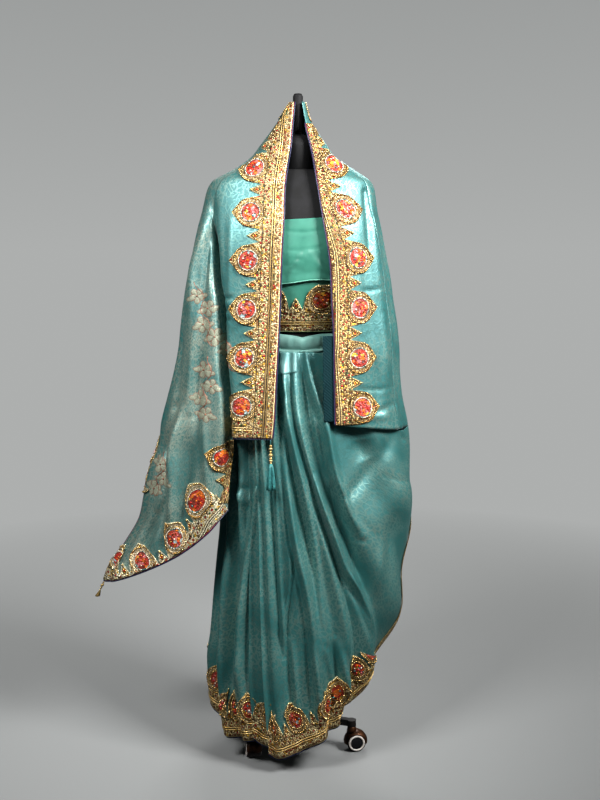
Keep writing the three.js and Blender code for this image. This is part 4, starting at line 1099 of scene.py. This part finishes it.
def add_beads(name, rows, start, width, first, squeeze, seed, folded, pearls):
    """The beads of every medallion and teardrop that the border has room for."""
    random = np.random.default_rng(seed)
    pattern = medallion_beads()
    places = []
    step = PITCH * squeeze
    for k in range(math.floor((0 - first) / step), math.ceil((start[-1] - first) / step) + 1):
        along = first + k * step + pattern[:, 0] * squeeze
        places.append(np.column_stack([along, pattern[:, 1] + MEDAL_CENTRE, pattern[:, 2:]]))
    places = np.concatenate(places)
    room = np.interp(places[:, 0], start, np.minimum(width, free_depths(rows) + folded)) - 1
    hidden = np.interp(places[:, 0], start, folded)
    kept = (places[:, 0] > 2) & (places[:, 0] < start[-1] - 3) & (places[:, 1] < room)
    kept &= places[:, 1] > hidden + 1
    places, hidden = places[kept], hidden[kept]
    if not len(places):
        return None
    beside = (places[:, 0] - first) / squeeze
    beside = beside - PITCH * np.round(beside / PITCH)
    raised = BAND_LIFT + BAND / 2 + border_relief(beside, places[:, 1], places[:, 1] + 20)
    points = lifted(rows, start, places[:, 0], places[:, 1] - hidden, raised + places[:, 2] * 0.3)
    sizes = places[:, 2] * random.uniform(0.85, 1.1, len(places))
    verts, faces = bead_field(points, sizes)
    made = new_object(name, verts, faces, [BEADS], slot="gold_embroidery")
    tint = mix(places[:, 3], places[:, 4], random.random(len(places)))
    tint = np.where((places[:, 3] > 0.9) & (not pearls), tint - 0.9, tint)
    tint = np.repeat(tint, len(verts) // len(points))
    add_field(made, "tint", np.column_stack([tint, tint * 0, tint * 0]))
    return made


def add_piping(name, rows):
    """A magenta and a navy cord along an edge, outside it."""
    out = unit(rows[:, 0] - rows[:, 1])
    made = []
    for colour_name, away, radius, material in (("magenta", 0.8, 0.9, MAGENTA), ("navy", 2.9, 1.4, NAVY)):
        path = (rows[:, 0] + out * away)[::2]
        made.append(new_object(f"{name}_{colour_name}", *tube(path, radius), [material], slot="piping"))
    return made


# ------------------------------------------------------------------ cape

CAPE_NUDGE = (0.05, 0.4)
RIGHT_FOLD = ((0, 30), (170, 28), (320, 8), (440, 10), (560, 18), (700, 10))
PALLU_FOLD = ((0, 0), (60, 8), (150, 38), (240, 54), (330, 46), (420, 10))
BORDERED = {}


def build_panels():
    """The two front panels, each with its border down the opening's edge."""
    across = np.linspace(0, 1, PANEL_GRID[0])
    for side, hem, far_hem, top, finish, last, squeeze, folded, seed in (
            ("left", PANEL_HEM_Z, PANEL_HEM_Z, CLOTH_TOP - 2, PALE_WORK, 74, 1.0, 0, 3),
            ("right", 849.0, COWL_SEAM_Z, 1545.0, PAINTED_SHADE_WORK, 40, 1.03, RIGHT_FOLD, 5)):
        z = cape_levels(mix(hem, far_hem, across), PANEL_GRID[1])
        reach = CAPE.at(side, z)
        far = CAPE.at("valley", z) if side == "left" else CORNER_SHARE
        place = mix(np.abs(OPENING.at(side, z)) / reach, far, across[:, None])
        points = cape_point(turn_at_share(place) * (-1 if side == "left" else 1), z)
        panel = cloth(f"{side}_panel", points[::-1] if side == "left" else points,
                      [SILK, WRONG_SIDE], "silk")
        levels = np.linspace(top, hem, round((top - hem) / FINE))
        rows = panel_rows(side, levels)
        length = lengths(rows[:, 0], 0)[-1]
        work = border(f"border_{side}", rows, finish, length - last, node=f"border_{side}", seed=seed,
                      squeeze=squeeze, folded=folded)
        BORDERED[f"{side}_panel"] = (panel, work)


def build_left_hem():
    """The border's band along the left panel's level bottom edge."""
    z = np.linspace(PANEL_HEM_Z, PANEL_HEM_Z + 52, 30)
    reach = CAPE.at("left", z)
    start, far = np.abs(OPENING.at("left", z)), CAPE.at("valley", z)
    share = mix((start + BAND_WIDTH) / reach, far - 0.01, np.linspace(0, 1, 60)[:, None])
    rows = cape_point(-turn_at_share(share), z[None, :])
    work = border("hem_band_left", rows, PALE_WORK, 0, plain=True, most=BAND_WIDTH - 2, piping=False)
    edge = cape_point(-turn_at_share(np.linspace(start[0] / reach[0], far[0], 60)), PANEL_HEM_Z)
    rows = np.stack([edge, edge + np.array([0, 0, 1.0])], 1)
    BORDERED["left_panel"][1].extend(work + add_piping("hem_band_left", rows))


INNER_CORNER_Z = 694.0  # below it the band at the sleeve's inner edge has no medallions
SIDE_MEDALLION_Z = 691.0  # height of the only medallion that shows at the sleeve's outer edge


def build_sleeve():
    """The pallu's end over the left side, with the border round its slanted end and outer edge."""
    share = np.linspace(1, 0, SLEEVE_GRID[0]) ** 1.25
    z = cape_levels(PALLU_END.at("z", share), SLEEVE_GRID[1])
    sleeve = cloth("pallu_sleeve", sleeve_point(share[:, None], z), [PALLU_SILK, WRONG_SIDE], "silk")

    share = np.linspace(0.004, 1, 200)
    z = PALLU_END.at("z", share)
    turn = mix(-turn_at_share(CAPE.at("valley", z)), -BACK_START, share)
    rows = edge_rows(cape_point, turn, z, CAPE_NUDGE, (-1, 1), reach=160.0, limits=(-BACK_START, 0))
    work = border("border_pallu_end", rows, PAINTED_LIT_WORK, 44, node="border_pallu_end", seed=7,
                  folded=PALLU_FOLD)
    # Its inner corner runs on up into the deep fold, which hides the outer part of the band.
    z = np.linspace(806, 655, 60)
    rows = edge_rows(cape_point, -turn_at_share(CAPE.at("valley", z)), z, CAPE_NUDGE, (-1, 0))
    most = np.where(z > INNER_CORNER_Z, UNLIMITED, BAND_WIDTH)
    work += border("border_pallu_inner", rows, PAINTED_SHADE_WORK, 40, seed=6, most=most, piping=False,
                   folded=((0, 42), (100, 36), (150, 14)))
    z = np.arange(PALLU_END.at("z", 1) + BAND_WIDTH, BACK_EDGE.at("z", 0) + 6, FINE)
    rows = edge_rows(cape_point, np.full(z.shape, -BACK_START), z, CAPE_NUDGE, (1, 0), reach=120)
    side = add_piping("border_pallu_side", rows)
    near = np.abs(z - SIDE_MEDALLION_Z) < 50
    side += border("border_pallu_side", rows[near], PAINTED_LIT_WORK, 50, most=116, seed=8, piping=False,
                   folded=70)
    BORDERED["pallu_sleeve"] = (sleeve, work + side)


def build_back():
    """The stretch across the back, bordered along the free part of its lower edge and at the neck."""
    span = 360 - BACK_START - CORNER_TURN
    turned_by = np.linspace(span, 0, BACK_GRID[0])
    z = cape_levels(BACK_EDGE.at("z", turned_by), BACK_GRID[1])
    points = cape_point(-BACK_START - turned_by[:, None], z)
    back = cloth("back_drape", points, [SILK, WRONG_SIDE], "silk")
    free = np.linspace(0, 146, 260)
    rows = edge_rows(cape_point, -BACK_START - free, BACK_EDGE.at("z", free), CAPE_NUDGE, (0, 1),
                     limits=(-1e9, -BACK_START))
    work = border("border_back_edge", rows, PALE_WORK, 60, node="border_back_edge", seed=9)
    around = np.linspace(-BACK_START, -BACK_START - span, 120)
    rows = cape_point(around[:, None], CLOTH_TOP - 1 - np.linspace(0, 60, 40))
    neck = border("border_neck", rows, PALE_WORK, 0, plain=True, most=50, node="border_neck",
                  piping=False)
    BORDERED["back_drape"] = (back, work + neck)


def build_turnback():
    """The ribbed edge that is turned back behind the right side of the opening."""
    inset = np.linspace(-28, 8, 20)[:, None]
    z = np.linspace(1056, 858, 110)
    x = OPENING.at("right", z) + inset
    rib = 0.8 * np.sin(z * 2 * np.pi / 7 + inset * 0.8)
    points = cape_point(turn_at_share(x / CAPE.at("right", z)), z)
    points[..., 1] += 3.2 + rib
    BORDERED["edge_turnback"] = (cloth("edge_turnback", points, [TURNBACK], "wrong_side"), [])


# ------------------------------------------------------------------ embroidered sprays on the pallu

# Where each spray's stem starts in the front view, its heading, its flowers and its size.
SPRAYS = ((-232, 1160, -76, 4, 1.12), (-206, 985, -100, 4, 1.12), (-322, 748, -106, 3, 1.0),
          (-158, 1034, -84, 2, 1.0))
PETALS = 5
# The cape's front as seen from the front: which heading lies at each width and height.
SPREAD_TURN = -np.linspace(0, BACK_START, 150)
SPREAD_Z = np.linspace(425, 1440, 200)
SPREAD_X = np.minimum.accumulate(cape_point(SPREAD_TURN[:, None], SPREAD_Z)[..., 0], axis=0)


def front_point(x, z, lift=0.0):
    """Points of the cape's front at places in the front view, raised square from the cloth."""
    level = z.ravel()
    place = (level - SPREAD_Z[0]) / (SPREAD_Z[1] - SPREAD_Z[0])
    low = np.clip(place.astype(int), 0, len(SPREAD_Z) - 2)
    columns = mix(SPREAD_X[:, low], SPREAD_X[:, low + 1], place - low)
    turn = np.array([np.interp(-at, -column, SPREAD_TURN) for at, column in zip(x.ravel(), columns.T)])
    here = cape_point(turn, level)
    normal = unit(np.cross(cape_point(turn + 0.1, level) - here, cape_point(turn, level - 0.5) - here))
    normal *= np.where(normal[:, 1:2] > 0, -1, 1)
    return (here + normal * np.reshape(lift, (-1, 1))).reshape(x.shape + (3,))


def petal(centre, heading, length, width, bend=0.0):
    """A low raised petal or leaf from a place in the front view: points, faces and shade."""
    s, t = np.meshgrid(np.linspace(0, 1, 8), np.linspace(-1, 1, 7), indexing="ij")
    half = width / 2 * np.sin(np.pi * np.clip(s, 0.03, 0.985) ** 1.7) ** 0.55
    ahead, beside = s * length, t * half + bend * length * s * s
    a = math.radians(heading)
    x = centre[0] + ahead * math.cos(a) - beside * math.sin(a)
    z = centre[1] + ahead * math.sin(a) + beside * math.cos(a)
    dome = 0.8 * (1 - t * t) * np.sin(np.pi * s) ** 0.5 + 0.7
    shade = np.maximum(np.abs(t), s ** 6)
    return front_point(x, z, dome).reshape(-1, 3), grid_faces(*s.shape)[:, ::-1].tolist(), shade.ravel()


def build_sprays():
    """Silver floral sprays: flowers of five round petals and small leaves close together on a stem."""
    random = np.random.default_rng(41)
    leaves, eyes, stems = [], [], []
    for x, z, heading, flowers, size in SPRAYS:
        ahead = np.array([math.cos(math.radians(heading)), math.sin(math.radians(heading))])
        beside = np.array([-ahead[1], ahead[0]])
        pitch = 30 * size
        for k in range(flowers):
            sway = 9 * size * (1 if k % 2 else -1) + random.uniform(-2, 2)
            along = pitch * (k + 0.4)
            centre = np.array([x, z]) + along * ahead + sway * beside
            start, scale = random.uniform(0, 360 / PETALS), size * random.uniform(0.85, 1.1)
            for turn in range(PETALS):
                leaves.append(petal(centre, start + 360 / PETALS * turn, 19 * scale, 15.5 * scale, 0.03))
            eyes.append(front_point(centre[:1], centre[1:], 2.0).ravel())
            for turn in (-75, 75):
                leaves.append(petal(centre, heading + turn, 25 * size, 11 * size, 0.12 * np.sign(turn)))
        stem = np.linspace(-20, pitch * flowers, 30)
        wave = 7 * size * np.sin(stem / pitch * np.pi)
        path = np.array([x, z])[:, None] + np.outer(ahead, stem) + np.outer(beside, wave)
        stems.append(tube(front_point(*path, 1.2), 0.8, 5))
    work = new_object("pallu_sprays", *joined([leaf[:2] for leaf in leaves]), [BUTTA],
                      slot="gold_embroidery")
    shade = np.concatenate([leaf[2] for leaf in leaves])
    add_field(work, "tint", np.column_stack([shade, shade * 0, shade * 0]))
    stem_work = new_object("pallu_spray_stems", *joined(stems), [BUTTA_EYE], slot="gold_embroidery")
    eyes_made = new_object("pallu_spray_eyes", *bead_field(eyes, np.full(len(eyes), 2.4)), [BUTTA_EYE],
                           slot="gold_embroidery")
    BORDERED["pallu_sleeve"][1].extend([work, stem_work, eyes_made])


# ------------------------------------------------------------------ skirt


def build_skirt():
    """The wrap round the hips, and the pleats and cowl over it, each with its border at the hem."""
    turn = np.linspace(-180, 180, SKIRT_GRID[0], endpoint=False)
    points = skirt_point(turn[:, None], np.linspace(0, 1, SKIRT_GRID[1]))
    skirt = cloth("skirt_wrap", points, [SILK, WRONG_SIDE], "silk", True)
    turn = np.linspace(-180, 180, 360, endpoint=False)
    rows = edge_rows(skirt_point, turn, np.ones(turn.shape), (0.05, 0.002), (0, -1), closed=True)
    work = border("hem_border_wrap", rows, PAINTED_CONTRAST_WORK, 681, squeeze=0.62, closed=True,
                  node="hem_border_wrap", seed=11)
    BORDERED["skirt_wrap"] = (skirt, work)

    split = PLEATS_END_LINE
    for name, edge, table, ends, layers, columns in (
            ("pleat_under", "hem_border_under", UNDER_PLEAT, (0, 3), 1, 30),
            ("pleat_front", "hem_border_front", FAN, (0, split), 0, 100),
            ("hip_cowl", "hem_border_cowl", FAN, (split, 15), 0, 150)):
        def surface(line, share, table=table, layers=layers):
            return fan_point(table, line, share, layers)
        lines = np.linspace(*ends, columns)
        points = surface(lines[:, None], np.linspace(0, 1, PLEAT_ROWS))
        piece = cloth(name, points, [SILK, WRONG_SIDE], "silk")
        lines = np.linspace(table.key[0], table.key[-1], 60 if layers else 420)
        rows = edge_rows(surface, lines, np.ones(lines.shape), (0.01, 0.002), (0, -1),
                         limits=(table.key[0], table.key[-1]), flush=35.0 if layers == 0 else 20.0)
        keep = (lines >= ends[0] - 0.02) & (lines <= ends[1] + 0.02)
        along = lengths(rows[:, 0], 0)[keep][0]
        # Beyond the ninth line the hem climbs the cowl's side, where the band is turned under.
        most = mix(UNLIMITED, 20.0, smooth_step(8.85, 9.15, lines[keep]))
        work = border(edge, rows[keep], PAINTED_CONTRAST_WORK, HEM_START - along, squeeze=0.70, node=edge, most=most,
                      seed=13 + layers)
        BORDERED[name] = (piece, work)


def build_patch():
    """The short pleat tucked over the skirt's top at the left: a sheet in a paler satin laid just in front
    of the pleats, a painted sheen on the flat face of the outermost pleat.
    """
    lines = np.linspace(5.2, 8.3, 18)
    points = fan_point(FAN, lines[:, None], np.linspace(0.0, 0.056, 14))
    points[..., 1] -= 2.4
    BORDERED["pleat_patch_painted_sheen"] = (cloth("pleat_patch_painted_sheen", points, [PAINTED_SHEEN_PATCH], "silk", replaced=False), [])


# ------------------------------------------------------------------ under layers

BANDEAU_TOP, BANDEAU_HEM, FLAP_HEM = 1323.0, 1062.0, 1179.0
BANDEAU_CREASES = [
    [-4, 4, 0, 16, 1262, -8, 1226, -36, 1188], [5, 4, 0, 22, 1258, 2, 1224, -22, 1184],
    [-2, 4, 0, -34, 1296, 13, 1292, 66, 1300], [-2, 4, 0, -30, 1252, 14, 1251, 60, 1262],
    [-2, 4, 0, 34, 1262, 50, 1232, 76, 1208], [3, 4, 0, 44, 1224, 59, 1207, 80, 1196],
    [-2, 5, 0, -26, 1166, -24, 1122, -24, 1080], [3, 4, 0, 0, 1172, 2, 1140, 0, 1110],
    [-2, 4, 0, -36, 1222, -18, 1210, 4, 1204], [-2, 5, 0, 26, 1172, 24, 1148, 20, 1120],
]


def build_bandeau():
    """The bandeau's two turns, with a rim along the folded-down one and a border at the front."""
    turn = np.linspace(-180, 180, BANDEAU_GRID[0], endpoint=False)
    level = np.linspace(0, 1, BANDEAU_GRID[1])
    creases = Creases(BANDEAU_CREASES)
    tilt = 7 * np.sin(np.radians(turn * 2))[:, None] * np.cos(np.radians(turn / 2))[:, None]
    for name, distance, top, hem, calm in (("bandeau_lower", 2.7, BANDEAU_TOP - 6, BANDEAU_HEM, 0.5),
                                           ("bandeau_upper", 5.4, BANDEAU_TOP, FLAP_HEM, 1.0)):
        flap = name == "bandeau_upper"
        wave = 1.6 * np.sin(np.radians(turn * 9))[:, None] * flap
        z = mix(top + tilt * 0.8, hem + (tilt + wave) * flap, level)
        plain = form_point(turn[:, None], z)
        flare = 3.5 * smooth_step(0.85, 1, level) * flap
        out = distance + np.maximum(creases.relief(plain), -1.8) * calm + flare
        piece = cloth(name, form_point(turn[:, None], z, out), [BANDEAU], "bandeau_satin", True)
        BORDERED[name] = (piece, [])
        if flap:
            # The rim tube is in the paler satin: a painted highlight along the flap's edge.
            rim = form_point(turn, z[:, -1], distance + 3.5)
            fold = new_object("bandeau_fold", *tube(np.vstack([rim, rim[:1]]), 1.5), [BANDEAU_PAINTED_HIGHLIGHT],
                              slot="bandeau_satin")
            add_field(fold, "cut", np.array([v.co for v in fold.data.vertices]) / MM)
            BORDERED[name][1].append(fold)

    across = np.linspace(-74, 74, 130)
    rows = form_point(across[:, None], BANDEAU_HEM + np.linspace(0, 125, 60), 2.7)
    middle = lengths(rows[:, 0], 0)[-1] / 2
    work = border("bandeau_border", rows, PAINTED_CONTRAST_WORK, middle + 52, most=112, node="bandeau_border",
                  seed=23, piping=False)
    BORDERED["bandeau_lower"][1].extend(work)


def build_waist():
    """The rolled top of the underskirt: two soft lobes gathered over a narrow lip."""
    turn = np.linspace(-180, 180, WAIST_GRID[0], endpoint=False)[:, None]
    level = np.linspace(0, 1, WAIST_GRID[1])
    lobes = np.abs(np.sin(np.radians((turn - 4) * 3.2))) ** 0.6
    gathers = 0.9 * np.sin(np.radians(turn * 23)) + 0.7 * np.sin(np.radians(turn * 37 + 20))
    roll = np.sin(np.pi * np.clip(level / 0.78, 0, 1)) ** 0.6
    lip = bump(level - 0.92, 0.09)
    out = 4.0 + (6.6 + gathers) * roll + 5.6 * lip
    sag = -6 * bump(turn + 2, 24) * level
    z = mix(1047.0 + 9 * lobes, 1016.0, level) + sag
    BORDERED["waist_roll"] = (
        cloth("waist_roll", form_point(turn, z, out), [WAIST], "waist_satin", True), [])


# ------------------------------------------------------------------ tassels

STRANDS = 170


def bead_string(at, beads):
    """Turned beads hung one under another: rows of (drop, radius, half length)."""
    turn = np.linspace(-np.pi / 2, np.pi / 2, 9)
    parts = []
    for drop, radius, half in beads:
        profile = np.column_stack([radius * np.cos(turn), half * np.sin(turn)])
        profile[[0, -1], 0] = 0
        verts, faces = turned(profile, 16)
        parts.append((verts + at + np.array([0, 0, -drop]), faces))
    return joined(parts)


def node_top(name):
    """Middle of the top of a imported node, in millimetres about the pole."""
    low, high = (np.array(end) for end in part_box(name))
    return np.array([(low[0] + high[0]) / 2 - POLE[0], (low[1] + high[1]) / 2 - POLE[1], high[2]]) / MM


def build_tassels():
    """A beaded tassel of loose strands in front, and a small metal bell at the sleeve's corner."""
    random = np.random.default_rng(31)
    top = node_top("tassel_front")
    beads = bead_string(top, [(18, 3.2, 3.2), (25, 4.6, 3.8), (32, 3.0, 3.0), (39.5, 5.0, 4.6),
                              (47, 3.2, 3.2), (53, 4.2, 3.4), (58.5, 2.8, 2.6)])
    new_object("tassel_front_beads", *beads, [CORD], slot="tassel_bead")
    strands = [tube(top + np.outer(np.linspace(1, 62, 10), [0, 0, -1]), 0.9)]
    drop = np.linspace(0, 1, 7)
    for _ in range(STRANDS):
        turn, share = random.uniform(0, 2 * math.pi), math.sqrt(random.uniform(0.02, 1))
        sway, more = random.uniform(-0.6, 0.6), random.uniform(-2.5, 1)
        reach = mix(2.6, 11.5, drop ** 0.5) * share
        path = np.column_stack([np.cos(turn) * reach + sway * drop, np.sin(turn) * reach,
                                -60 - drop * (62 + more)])
        strands.append(tube(top + path, 0.62, 4))
    new_object("tassel_front_threads", *joined(strands), [THREAD], replaces=("tassel_front",),
               slot="tassel_thread")
    top = node_top("tassel_corner")
    bell = [(0, -44), (5.5, -44), (6.6, -42), (5.0, -38), (3.4, -33), (2.2, -29), (1.5, -26), (0, -26)]
    verts, faces = turned(bell, 18)
    string = tube(top + np.outer(np.linspace(0.4, 12, 6), [0, 0, -1]), 0.8)
    beads = bead_string(top, [(9, 2.2, 2.6), (15.5, 4.4, 4.2), (22.5, 3.0, 3.0)])
    verts, faces = joined([beads, (verts + top, faces), string])
    lean = np.clip((top[2] - verts[:, 2]) / 44, 0, 1)
    verts[:, 0] -= 20 * lean
    new_object("tassel_corner_bell", verts, faces, [CORD], replaces=("tassel_corner",),
               slot="tassel_bead")


# ------------------------------------------------------------------ form, stand and casters


def build_form():
    """The form's body with closed ends, and its neck cap with the finial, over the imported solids."""
    turn = np.linspace(-180, 180, 96, endpoint=False)
    z = np.concatenate([np.linspace(700, 1365, 60), np.linspace(1368, 1440, 24)])
    rings = form_point(turn[:, None], z[::-1])
    count = len(z)
    faces = grid_faces(len(turn), count, True).tolist()
    first = np.arange(len(turn)) * count
    top, bottom = rings.size // 3, rings.size // 3 + 1
    faces += [[top, a, b] for a, b in zip(first, np.roll(first, -1))]
    faces += [[bottom, b + count - 1, a + count - 1] for a, b in zip(first, np.roll(first, -1))]
    verts = np.vstack([rings.reshape(-1, 3), rings[:, 0].mean(axis=0), rings[:, -1].mean(axis=0)])
    new_object("form_body", verts, faces, [COVER], replaces=("form_torso",), slot="form_cover")
    arc = [(42 * math.cos(a), 1494 + 32 * math.sin(a)) for a in np.linspace(0, 1.25, 8)]
    neck = [(0, 1440.4), (41, 1440.4), (42, 1442), *arc, (12, 1530), (12, 1612), (9, 1618), (0, 1619.8)]
    new_object("form_neck_cap", *turned(neck, 48), [COVER], replaces=("form_neck",), slot="form_cover")


JOINTS = {joint["name"]: joint for joint in frame["joints"]}
# Half of each caster part's turned section: radius and place along the axle.
TYRE_SECTION = [
    (0, -16), (20, -16), (20.6, -17.6), (21.2, -17.4), (23, -15.5), (23.7, -12), (23.7, -3), (21, -1.2),
    (21, 1.2), (23.7, 3), (23.7, 12), (23, 15.5), (21.2, 17.4), (20.6, 17.6), (20, 16), (0, 16)]
RING_SECTION = [
    (0, -17), (16.0, -17), (16.4, -18.6), (17.6, -19.2), (19.4, -18.8), (20.4, -17.6), (20.4, 17.6),
    (19.4, 18.8), (17.6, 19.2), (16.4, 18.6), (16.0, 17), (0, 17)]
CAP_SECTION = [
    (0, -19.9), (5, -19.7), (10, -19.1), (14, -18.2), (15.9, -17.2), (15.9, 17.2), (14, 18.2),
    (10, 19.1), (5, 19.7), (0, 19.9)]


def build_casters():
    """Twin-tread wheels with a pale ring and a glossy cap on both cheeks, under barrel-shaped hoods."""
    profiles = (("tyre", TYRE, TYRE_SECTION), ("ring", RING, RING_SECTION), ("cap", DISC, CAP_SECTION))
    up = np.array([0, 0, 1.0])
    pole = np.array([POLE[0] / MM, POLE[1] / MM, 0])
    for side in ("left", "right", "back"):
        wheel, along = (np.array(JOINTS[f"roll_{side}"][key]) for key in ("pos_m", "axis"))
        centre = wheel / MM - pole
        foot = np.array(JOINTS[f"swivel_{side}"]["pos_m"]) / MM * [1, 1, 0] - pole
        trail = unit((centre - foot) * [1, 1, 0])
        for part, material, profile in profiles:
            verts, faces = turned(profile, 40)
            placed = centre + verts[:, :1] * trail + verts[:, 1:2] * up + verts[:, 2:] * along
            replaced = (f"wheel_{side}",) if part == "tyre" else ()
            new_object(f"wheel_{side}_{part}", placed, faces, [material], body=f"roller_{side}",
                       replaces=replaced, slot="caster_wheel")

        turn = np.radians(np.linspace(-7, 187, 44))[:, None]
        reach = np.linspace(-18.4, 18.4, 14)
        radius = np.sqrt(29.3 ** 2 - reach ** 2)
        shell = (np.cos(turn) * radius)[..., None] * trail + (np.sin(turn) * radius)[..., None] * up
        shell = centre + shell + (reach * np.ones(turn.shape))[..., None] * along
        hood = new_object(f"hood_{side}_shell", shell, grid_faces(44, 14), [BRONZE],
                          body=f"caster_{side}", replaces=(f"hood_{side}",), slot="caster_hood")
        thicken(hood, 1.3)
        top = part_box(f"hood_{side}")[1][2] / MM
        verts, faces = turned([(0, top - 14), (4.6, top - 14), (4.6, top), (9.8, top), (10.8, top - 1),
                               (11.4, top - 7), (13, top - 16), (0, top - 16)], 28)
        new_object(f"hood_{side}_boss", verts + foot, faces, [BRONZE], body=f"caster_{side}",
                   slot="caster_hood")


def finish_stand():
    """The legs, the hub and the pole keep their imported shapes, and get a metal finish."""
    for name, node in frame["nodes"].items():
        if name.startswith(("leg_", "stand_")):
            node.data.materials.clear()
            node.data.materials.append(STAND)


# ------------------------------------------------------------------ every piece gone through once, with nothing changed


def declare_cloth():
    for name, (piece, extras) in BORDERED.items():
        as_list(extras)


build_panels()
build_left_hem()
build_sleeve()
build_back()
build_turnback()
build_sprays()
build_skirt()
build_patch()
build_bandeau()
build_waist()
build_tassels()
build_form()
build_casters()
finish_stand()
declare_cloth()

# ------------------------------------------------------------------ floor, light and camera

BACKDROP = (0.42, 0.43, 0.425, 1)
BACKDROP_HIGH = (0.29, 0.30, 0.297, 1)
AMBIENT = (0.042, 0.044, 0.044, 1)


def add_stage():
    """A matt floor under the stand that turns into the backdrop's glow further off, so that no
    horizon shows, and a dim world behind it that lights softly."""
    far = 14.0
    mesh = bpy.data.meshes.new("floor")
    mesh.from_pydata([(-far, -far, 0), (far, -far, 0), (far, far, 0), (-far, far, 0)], [], [(0, 1, 2, 3)])
    floor = bpy.data.objects.new("floor", mesh)
    bpy.context.scene.collection.objects.link(floor)

    made, tree, shader = new_material("floor", (0.27, 0.277, 0.274, 1), 0.85)
    mesh.materials.append(made)
    place = Field(tree, add_node(tree, "TexCoord").outputs["Object"])
    away = add_node(tree, "VectorMath", {0: place}, operation="DISTANCE")
    away.inputs[1].default_value = (POLE[0], POLE[1], 0)
    away = Field(tree, away.outputs["Value"])
    seen = Field(tree, add_node(tree, "LightPath").outputs["Is Camera Ray"])
    glow = add_node(tree, "Emission", {"Color": blended(tree, seen, AMBIENT, BACKDROP), "Strength": 1.0})
    unlit = (seen * -1 + 1).op("MAXIMUM", away.ramp(0.6, 2.6))
    both = add_node(tree, "MixShader", {0: unlit})
    tree.links.new(shader.outputs[0], both.inputs[1])
    tree.links.new(glow.outputs[0], both.inputs[2])
    tree.links.new(both.outputs[0], tree.nodes["Material Output"].inputs[0])

    world = bpy.data.worlds.new("studio")
    world.use_nodes = True
    tree = world.node_tree
    seen = Field(tree, add_node(tree, "LightPath").outputs["Is Camera Ray"])
    _, _, height = parts_of(Field(tree, add_node(tree, "TexCoord").outputs["Generated"]))
    tone = blended(tree, height.ramp(0.0, 0.33), BACKDROP, BACKDROP_HIGH)
    feed(tree, tree.nodes["Background"].inputs[0], blended(tree, seen, AMBIENT, tone))
    bpy.context.scene.world = world


# Name, place, what it points at, size, power and spread of each softbox.
LIGHTS = (
    ("key", (-1.1, -1.5, 2.6), (-0.28, 0.0, 1.15), (0.9, 0.7), 16, 80),
    ("second", (1.7, -1.25, 2.5), (0.1, 0.0, 1.2), (1.0, 0.8), 29, 72),
    ("back", (0.3, 2.2, 2.6), (0.1, 0.0, 0.9), (1.4, 1.0), 45, 180),
)


def add_light(name, place, target, size, power, spread):
    lamp = bpy.data.lights.new(name, "AREA")
    lamp.shape, lamp.size, lamp.size_y = "RECTANGLE", size[0], size[1]
    lamp.energy, lamp.spread = power, math.radians(spread)
    made = bpy.data.objects.new(name, lamp)
    bpy.context.scene.collection.objects.link(made)
    made.location = place
    made.rotation_euler = (Vector(target) - Vector(place)).to_track_quat("-Z", "Y").to_euler()


def add_camera():
    """Level with the waist's upper part, 2.6 m in front, and turned a little down."""
    camera = bpy.data.objects.new("camera", bpy.data.cameras.new("camera"))
    bpy.context.scene.collection.objects.link(camera)
    camera.location = (POLE[0] + 0.0049, POLE[1] - 2.6, 1.25)
    camera.rotation_euler = (math.radians(90 - 7.963), 0, 0)
    camera.data.lens, camera.data.sensor_width = 47.98, 36.0
    bpy.context.scene.camera = camera


bpy.context.scene.view_settings.view_transform = "Standard"
add_stage()
for light in LIGHTS:
    add_light(*light)
add_camera()
